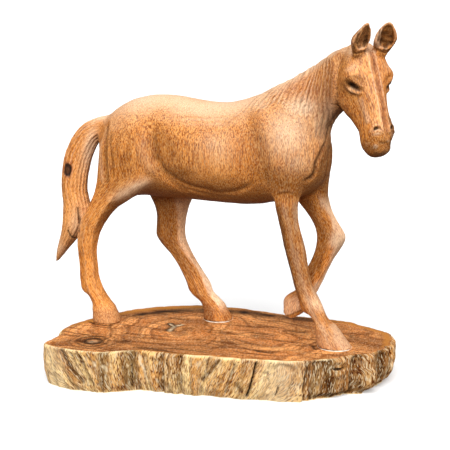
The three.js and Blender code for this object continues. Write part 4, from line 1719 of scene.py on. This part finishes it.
    def build(self) -> Object:
        """Builds and dresses the slab.

        Returns:
            The finished piece, with the glue that was squeezed out on it.
        """
        columns = self.rim_columns()
        piece = self.disc(len(columns))
        surface = Surface(piece)
        self.shape(surface, columns)
        self.dress_edge(surface)
        self.dress_top(surface)
        self.assign_woods(piece)
        for bead in self.glue_beads:
            self.add_glue(piece, bead)
        bpy.ops.object.shade_smooth_by_angle(angle=math.radians(55.0))
        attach(piece, "root")
        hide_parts(self.node)
        return piece

    def rim_columns(self) -> np.ndarray:
        """Reads the solid's edge and draws it finer.

        Returns:
            For each column round the rim, its angle and its reach from the middle at each of the levels.
        """
        mesh = frame["nodes"][self.node].data
        places = np.empty(len(mesh.vertices) * 3)
        mesh.vertices.foreach_get("co", places)
        points = np.unique(np.round(places.reshape(-1, 3) / MM - HORSE_ORIGIN, 3), axis=0)
        away = points[:, :2] - self.middle
        reach = np.hypot(*away.T)
        angle = np.arctan2(away[:, 1], away[:, 0])
        on_rim = reach > 1.0
        self.heights = np.unique(points[on_rim, 2])
        sheets = []
        for height in self.heights:
            level = on_rim & (points[:, 2] == height)
            order = np.argsort(angle[level])
            sheets.append(reach[level][order])
            turns = angle[level][order]
        rows = np.column_stack((turns, *sheets))
        ahead, behind = rows.copy(), rows.copy()
        ahead[:, 0] += math.tau
        behind[:, 0] -= math.tau
        fine = smooth_run(np.vstack((behind[-2:], rows, ahead[:3])), self.spans)
        return fine[2 * self.spans : (2 + len(rows)) * self.spans]

    def disc(self, columns: int) -> Object:
        """A plain disc with as many columns, cut into levels up its edge and rings across its top.

        Args:
            columns: How many columns it has.

        Returns:
            The disc, one metre in radius, with its underside at level 0 and its top at level 1.
        """
        bpy.ops.object.select_all(action="DESELECT")
        bpy.ops.mesh.primitive_cylinder_add(
            vertices=columns, radius=1.0, depth=1.0, end_fill_type="NGON", location=(0, 0, 0.5)
        )
        piece = bpy.context.object
        piece.name = self.name
        bpy.ops.object.transform_apply(location=True, rotation=True, scale=True)
        mesh = piece.data
        bpy.ops.object.mode_set(mode="EDIT")
        bpy.ops.mesh.select_all(action="DESELECT")
        bpy.ops.mesh.select_mode(type="EDGE")
        bpy.ops.object.mode_set(mode="OBJECT")
        for edge in mesh.edges:
            low, high = (mesh.vertices[v].co.z for v in edge.vertices)
            edge.select = abs(high - low) > 0.5
        bpy.ops.object.mode_set(mode="EDIT")
        bpy.ops.mesh.subdivide(number_cuts=self.levels - 1)
        for end, rings in ((1.0, self.rings), (-1.0, 4)):
            bpy.ops.mesh.select_all(action="DESELECT")
            bpy.ops.mesh.select_mode(type="FACE")
            bpy.ops.object.mode_set(mode="OBJECT")
            for face in mesh.polygons:
                face.select = face.normal.z * end > 0.9
            bpy.ops.object.mode_set(mode="EDIT")
            for ring in range(rings):
                left = rings - ring + 0.3
                shrink = (left - 1.0) / left
                bpy.ops.mesh.extrude_region_move()
                bpy.ops.transform.resize(value=(shrink, shrink, 1.0), center_override=(0, 0, 0))
        bpy.ops.object.mode_set(mode="OBJECT")
        return piece

    def shape(self, surface: Surface, columns: np.ndarray) -> None:
        """Brings the disc to the solid's form and works the flutes, cracks and knots into it.

        Args:
            surface: The disc.
            columns: The angles and reaches that rim_columns gives.
        """
        raw = (surface.points + HORSE_ORIGIN) * MM
        share = np.hypot(raw[:, 0], raw[:, 1])
        level = np.clip(raw[:, 2], 0.0, 1.0)
        turn = np.arctan2(raw[:, 1], raw[:, 0])
        count = len(columns)
        column = np.round(np.mod(turn - math.pi / 2, math.tau) / math.tau * count).astype(int) % count
        height = (level - 1.0) * self.thickness
        reach = np.zeros(len(raw))
        for k in range(len(self.heights) - 1):
            low, high = self.heights[k], self.heights[k + 1]
            here = (height >= low - 1e-6) & (height <= high + 1e-6)
            blend = (height[here] - low) / (high - low)
            side = columns[column[here]]
            reach[here] = side[:, k + 1] + blend * (side[:, k + 2] - side[:, k + 1])
        angle = columns[column, 0]
        ray = np.stack((np.cos(angle), np.sin(angle)), axis=1)
        relief = self.edge_relief(columns, column, height)
        fade = ramp(0.9, 1, share)
        flat = np.array(self.middle) + ray * (reach + relief * fade)[:, None] * share[:, None]
        self.on_edge = (share > 0.999) & (level > 0.001)
        self.on_top = (level > 0.999) & (share < 0.999)
        self.share = share
        self.level = level
        self.inset = (1.0 - share) * reach
        surface.points = np.column_stack((flat, height))
        surface.settle()

    def edge_relief(self, columns: np.ndarray, column: np.ndarray, height: np.ndarray) -> np.ndarray:
        """How far each point of the edge stands in from, or out of, the solid's edge.

        Args:
            columns: The angles and reaches that rim_columns gives.
            column: Each point's column.
            height: Each point's height below the slab's top.

        Returns:
            The relief of each point. The tones of the edge are kept for dress_edge.
        """
        mid = len(self.heights) // 2
        rays = np.stack((np.cos(columns[:, 0]), np.sin(columns[:, 0])), axis=1)
        line = np.array(self.middle) + columns[:, mid + 1, None] * rays
        steps = np.linalg.norm(np.roll(line, -1, axis=0) - line, axis=1)
        arc = np.concatenate(([0.0], np.cumsum(steps)[:-1]))
        whole = steps.sum()
        place = arc[column]
        drop = height / (0.5 * self.thickness) + 1.0
        rng = np.random.default_rng(self.seed)
        flutes = [
            (rng.uniform(0.0, whole), *rng.uniform((0.9, 0.2, -4.0, 0.1), (2.4, 1.0, 4.0, 0.6)))
            for _ in range(self.loose_flutes)
        ]
        for flute in self.flutes:
            start = arc[np.argmin(np.linalg.norm(line - flute.place, axis=1))]
            flutes.append((start, flute.half_width, flute.depth, flute.lean, flute.dark))
        rim = line[column]
        front = rim[:, 1] < self.front
        slant = np.where(front, np.interp(rim[:, 0], *np.array(self.slants).T), 0.15)
        self.local = local = np.column_stack((place + slant * height, height, np.zeros(len(place))))
        self.tones = tones = Tones(len(column), "flute", "scar", "chalk")
        waver = 1.3 * wander(local, 9, 21) + 0.5 * wander(local, 3.5, 22)
        relief = np.zeros(len(column))
        for start, half_width, depth, lean, dark in flutes:
            gap = place - start + lean * drop + waver
            gap = np.mod(gap + 0.5 * whole, whole) - 0.5 * whole
            furrow = hill(gap, half_width) * (0.8 + 0.2 * wander(local * (0, 1, 0) + start, 12, 23))
            relief -= depth * furrow
            if depth < 0.0:
                tones["flute"] *= 1.0 - 0.6 * furrow
            tones.deepen(flute=dark * furrow)
        folds = max(1, round(whole / self.fold_pitch))
        turn = local[:, 0] / whole * folds + 0.45 * wander(local * (1, 0.3, 1), 17, 52)
        turn += 0.12 * wander(local, 5, 53)
        fold = np.abs(np.sin(math.pi * turn)) ** 0.7
        plain = [share * hill(rim[:, 0] - x, reach) for x, reach, share in self.plain_lumps]
        plain = np.maximum.reduce(plain) * front
        strength = 0.55 + 0.45 * wander(local * (1, 0.15, 1), 24, 55)
        strength *= 1.0 - 0.8 * plain
        fissure = np.abs(wander(local * (1, 0.16, 1), 5, 28) + 0.25 * wander(local, 4, 29))
        fissure = ramp(0.14, 0, fissure) * ramp(0, 0.5, wander(local, 14, 30))
        tones.deepen(
            chalk=0.35 * plain,
            flute=np.maximum(1.1 * strength * ramp(0.55, 0.1, fold), 0.6 * fissure),
        )
        relief += self.fold_relief * strength * (fold - 0.75) - 0.9 * fissure
        relief += 0.18 * wander(local * (1, 0.2, 1), 2.6, 24) + 0.4 * wander(local, 6, 25)
        upright = np.column_stack((rim[:, 0] + 0.35 * waver, height))[front]
        for mark in self.marks:
            gap, share = off_run(upright, mark.run)
            cut = hill(gap, mark.half_width) * band(share, 0, 0.08, 0.92, 1)
            relief[front] -= mark.depth * cut
            tones.deepen(front, **{mark.tone: mark.share * cut})
        relief += self.end_forms(rim, height)
        top = ramp(-3, 0, height)
        foot = ramp(-self.thickness - 6, -self.thickness + 3, height)
        worn = 0.7 * ramp(-1.3, 0, height)
        return relief * (1.0 - 0.55 * top) * foot - worn

    def end_forms(self, rim: np.ndarray, height: np.ndarray) -> np.ndarray:
        """The knob, the scooped hollow and the slit knot towards the right end, which is worn away below.

        Args:
            rim: Each point's place on the rim.
            height: Each point's height below the slab's top.

        Returns:
            The relief that they add. Their tones are added to the edge's.
        """
        x, y = rim.T
        local, tones = self.local, self.tones
        away = np.linalg.norm(np.column_stack((rim, height)) - self.knob, axis=1)
        away += 1.2 * wander(local, 5, 35)
        relief = 4.2 * np.sqrt(np.clip(1.0 - (away / self.knob_radius) ** 2, 0.0, 1.0))
        tones.deepen(flute=0.45 * hill(away - self.knob_radius, 1.6))
        tones["flute"] *= 1 - 0.5 * ramp(8, 4, away)
        bowl = np.hypot(*((np.column_stack((x, height)) - self.scoop) / self.scoop_size).T)
        bowl = np.where(y < self.front, bowl + 0.15 * wander(local, 4, 36), 9)
        relief -= 1.8 * ramp(1.2, 0.6, bowl)
        along = np.linalg.norm(rim - self.slit[:2], axis=1)
        gap = np.hypot(along / 6.0, (height - self.slit[2]) / 1.2)
        relief += 1.2 * hill(np.hypot(along, height - self.slit[2]) - 7, 2.5) - 2.4 * ramp(1.2, 0.5, gap)
        tones.deepen(flute=0.5 * hill(bowl - 1, 0.22), scar=0.85 * ramp(1.15, 0.6, gap))
        end = ramp(96, 120, x) * ramp(30, -10, y)
        relief -= 6.5 * end * ramp(-31, -38, height)
        tip = ramp(140, 152, x)
        relief += tip * (1.5 * ramp(-30, -20, height) - 3 * ramp(-26, -38, height))
        return relief

    def dress_edge(self, surface: Surface) -> None:
        """Paints the tones of the edge."""
        x, y, z = surface.points.T
        local = self.local
        valleys = sum(hill(x - middle, reach) for middle, reach in self.valleys) * ramp(10, -10, y)
        # darker down the flutes where inner bark is left, with painted shade in the hollows and the listed
        # valleys
        bark = np.maximum.reduce((
            self.tones["flute"],
            0.95 * ramp(0.15, 0.65, surface.hollows(7)),
            np.clip(valleys, 0, 1) * (0.8 + 0.3 * wander(local, 7, 41)),
        ))
        flecks = ramp(0.55, 0.75, wander(local * (1, 0.35, 1), 2.6, 27))
        flecks *= ramp(0.1, 0.4, wander(local, 22, 37))
        weather = 0.6 * ramp(0.1, 0.7, wander(local * (1, 0.35, 1), 16, 26))
        lip = ramp(-1.4, -0.3, z + 0.9 * wander(local, 5, 38)) * ramp(125, 100, x)
        self.lip = 0.65 * lip * ramp(-0.6, 0.3, wander(local, 8, 54))
        surface.paint("flute", np.where(self.on_edge, 0.95 * bark, 0.0))
        # greyer in wandering patches, and painted darker over the right end
        surface.paint("weather", np.maximum(weather, 0.65 * ramp(96, 125, x)))
        surface.paint("chalk", np.maximum(self.tones["chalk"], 0.3 * flecks) * (1.0 - 0.7 * bark))
        surface.paint_vector("grain", local * MM)

    def dress_top(self, surface: Surface) -> None:
        """Sinks the cracks of the top, paints its rings, knots, sapwood and scars, and paints a shadow by a
        hoof.
        """
        points = surface.points
        x, y, _ = points.T
        flat = points * (1.0, 1.0, 0.0)
        drawn_in = np.array(self.pith) - self.middle
        from_pith = points[:, :2] - self.middle - drawn_in * (1.0 - self.share)[:, None]
        rim_reach = np.linalg.norm(points[:, :2] - self.middle, axis=1) / np.maximum(self.share, 0.02)
        rings = np.linalg.norm(from_pith, axis=1) / np.maximum(rim_reach, 1.0)
        figure = 95 * rings + 12 * wander(flat, 55, 31) + 5 * wander(flat, 20, 32) + 120.0
        tones = Tones(len(points), "scar", "pale")
        heights = 0.12 * wander(flat, 14, 39)
        for knot in self.knots:
            away = np.linalg.norm(points[:, :2] - knot.place, axis=1) + 0.8 * wander(flat, 5, 40)
            figure += knot.push * hill(away, 2.2 * knot.radius)
            heights -= 0.4 * hill(away, knot.radius)
            ring = 0.5 + 0.5 * np.cos(math.tau * (away / knot.radius - 0.8) / 0.75)
            ring = ring**2 * ramp(3.4, 1.2, away / knot.radius)
            bark = hill(away - 0.8 * knot.radius, 0.3 * knot.radius)
            tones.deepen(scar=knot.dark * np.maximum(ring, bark))
        first = np.linalg.norm(points[:, :2] - self.knots[0].place, axis=1) + 2 * wander(flat, 3, 33)
        tones.deepen(pale=0.22 * ramp(6, 2.5, first))
        top = np.flatnonzero(self.on_top)
        jitter = np.stack((wander(flat[top], 6, 42), wander(flat[top], 6, 43)), axis=1)
        for mark in self.cracks:
            gap, along = off_run(points[top, :2] + jitter, mark.run)
            fade = ramp(1, 0.8, along)
            cut = hill(gap, mark.half_width) * ramp(0, 0.1, along + 0.08) * fade
            heights[top] -= mark.depth * cut
            edges = hill(gap - 2.6 * mark.half_width * mark.pale, mark.half_width * (1 + mark.pale))
            tones.deepen(top, pale=mark.pale * cut, scar=mark.share * edges * fade)
        back_left = ramp(20, -50, x) * ramp(-70, -10, y)
        back_right = ramp(60, 100, x) * ramp(-20, 10, y)
        width = 1.4 + 9 * back_left + 5 * back_right + 1.2 * wander(flat, 18, 34)
        sap = ramp(1.4, 0.7, self.inset / np.maximum(width, 1))
        behind = ramp(-30, 10, y)
        dark = behind * ramp(110, 40, x) * hill(self.inset - width - 8.5, 8.5)
        dark *= 0.85 + 0.3 * wander(flat, 9, 45)
        dusk = (
            0.3 * ramp(-10, 80, x + 1.2 * y),
            0.7 * ramp(104, 146, x),
            0.2 * behind,
            0.75 * hill(x + 25, 60) * ramp(-48, -62, y),
        )
        surface.paint("figure", figure / self.figure_scale)
        surface.paint("sap", np.where(self.on_edge, self.lip, 0.9 * sap))
        surface.paint("dusk", np.maximum.reduce(dusk))
        surface.paint("pale", tones["pale"])
        tones.deepen(scar=0.9 * dark)
        surface.paint("scar", np.where(self.on_edge, self.tones["scar"], tones["scar"]))
        surface.points[top, 2] += np.minimum(heights[top], 0) * ramp(0, 3, self.inset[top])
        surface.settle()

    def assign_woods(self, piece: Object) -> None:
        """Gives each face of the slab its wood."""
        mesh = piece.data
        mesh.materials.clear()
        for finish in (LiveEdge(), PolishedHeartwood(), SawnUnderside(), DriedGlue()):
            mesh.materials.append(finish.make())
        corners = np.empty(len(mesh.loops), np.int32)
        mesh.loops.foreach_get("vertex_index", corners)
        firsts = np.empty(len(mesh.polygons), np.int32)
        mesh.polygons.foreach_get("loop_start", firsts)
        on_top = np.logical_and.reduceat(self.level[corners] > 0.999, firsts)
        under = np.logical_and.reduceat(self.level[corners] < 0.001, firsts)
        kinds = np.where(on_top, 1, np.where(under, 2, 0))
        mesh.polygons.foreach_set("material_index", kinds.astype(np.int32))

    def add_glue(self, piece: Object, bead: GlueBead) -> None:
        """Lays a bead of dried glue beside a hoof's sole and joins it to the slab.

        Args:
            piece: The slab.
            bead: The bead.
        """
        bpy.ops.object.select_all(action="DESELECT")
        slim = 0.09
        bpy.ops.mesh.primitive_torus_add(
            major_segments=96, minor_segments=8, major_radius=1.0, minor_radius=slim
        )
        ring = bpy.context.object
        surface = Surface(ring)
        raw = (surface.points + HORSE_ORIGIN) * MM
        reach = np.hypot(raw[:, 0], raw[:, 1])
        ray = raw[:, :2] / reach[:, None]
        thick = (reach - 1.0) / slim
        flow = np.column_stack((ray * 20.0, np.zeros(len(ray))))
        spread = 0.1 + ramp(0.45, 0.95, ray @ np.array(bead.towards)) * (0.8 + 0.4 * wander(flow, 5, 41))
        out = ray * bead.half_size + ray * (thick * 1.1 * spread)[:, None]
        rise = raw[:, 2] / slim * 0.6 * spread
        surface.points = np.column_stack((out + bead.middle, rise))
        surface.settle()
        ring.data.materials.append(bpy.data.materials[DriedGlue().title])
        piece.select_set(True)
        bpy.context.view_layer.objects.active = piece
        bpy.ops.object.join()


# The studio


@dataclass
class Studio:
    """A white paper floor, soft light from the front left and above, and the camera."""

    target: Point = (20.0, -62.0, 112.0)
    azimuth: float = VIEW_AZIMUTH
    elevation: float = 13.0
    distance: float = 1000.0
    focal_pixels: float = 1170.0
    image_pixels: float = 450.0
    sensor: float = 36.0
    floor_size: float = 60.0
    world_strength: float = 0.17
    # each light's name, strength, softness in degrees, and the azimuth and elevation that it comes from
    suns = (
        ("key", 4.1, 50.0, 10.0, 42.0),
        ("sky", 0.75, 160.0, 0.0, 85.0),
        ("side", 1.6, 60.0, 100.0, 26.0),
    )

    def build(self) -> None:
        """Sets up the floor, the lights and the camera."""
        bpy.ops.object.select_all(action="DESELECT")
        bpy.ops.mesh.primitive_plane_add(size=self.floor_size)
        floor = bpy.context.object
        floor.name = "studio_floor"
        floor.data.materials.append(StudioPaper().make())
        # the paper throws no light back up, so that the belly and the insides of the legs stay in shade
        floor.visible_diffuse = False
        floor.visible_glossy = False
        self.light()
        self.place_camera()

    def towards(self, azimuth: float, elevation: float) -> Vector:
        """The direction to a place that is seen at an azimuth and an elevation, with azimuth 0 on -Y."""
        turn, rise = math.radians(azimuth), math.radians(elevation)
        return Vector((math.sin(turn) * math.cos(rise), -math.cos(turn) * math.cos(rise), math.sin(rise)))

    def light(self) -> None:
        """Adds the soft lights and the white surroundings."""
        for name, strength, softness, azimuth, elevation in self.suns:
            lamp = bpy.data.lights.new(name, "SUN")
            lamp.energy = strength
            lamp.angle = math.radians(softness)
            holder = bpy.data.objects.new(name, lamp)
            holder.rotation_euler = self.towards(azimuth, elevation).to_track_quat("Z", "Y").to_euler()
            bpy.context.scene.collection.objects.link(holder)
        world = bpy.data.worlds.new("studio_white")
        world.use_nodes = True
        world.node_tree.nodes["Background"].inputs["Color"].default_value = (1.0, 1.0, 1.0, 1.0)
        world.node_tree.nodes["Background"].inputs["Strength"].default_value = self.world_strength
        bpy.context.scene.world = world
        bpy.context.scene.view_settings.view_transform = "Standard"

    def place_camera(self) -> None:
        """Puts the camera where the photograph was taken from."""
        lens = bpy.data.cameras.new("camera")
        lens.sensor_width = self.sensor
        lens.lens = self.focal_pixels / self.image_pixels * self.sensor
        camera = bpy.data.objects.new("camera", lens)
        target = Vector((np.array(self.target) + HORSE_ORIGIN) * MM)
        back = self.towards(self.azimuth, self.elevation)
        camera.location = target + back * (self.distance * MM)
        camera.rotation_euler = back.to_track_quat("Z", "Y").to_euler()
        bpy.context.scene.collection.objects.link(camera)
        bpy.context.scene.camera = camera


def main() -> None:
    """Builds the sculpture's pieces in order and reports each one."""
    logging.basicConfig(level=logging.INFO, format="%(name)s: %(message)s")
    Studio().build()
    for maker in (CarvedHorse(), LiveEdgeSlab()):
        piece = maker.build()
        piece.data.calc_loop_triangles()
        LOG.info("%s has %d triangles", piece.name, len(piece.data.loop_triangles))


if __name__ == "__main__":
    main()
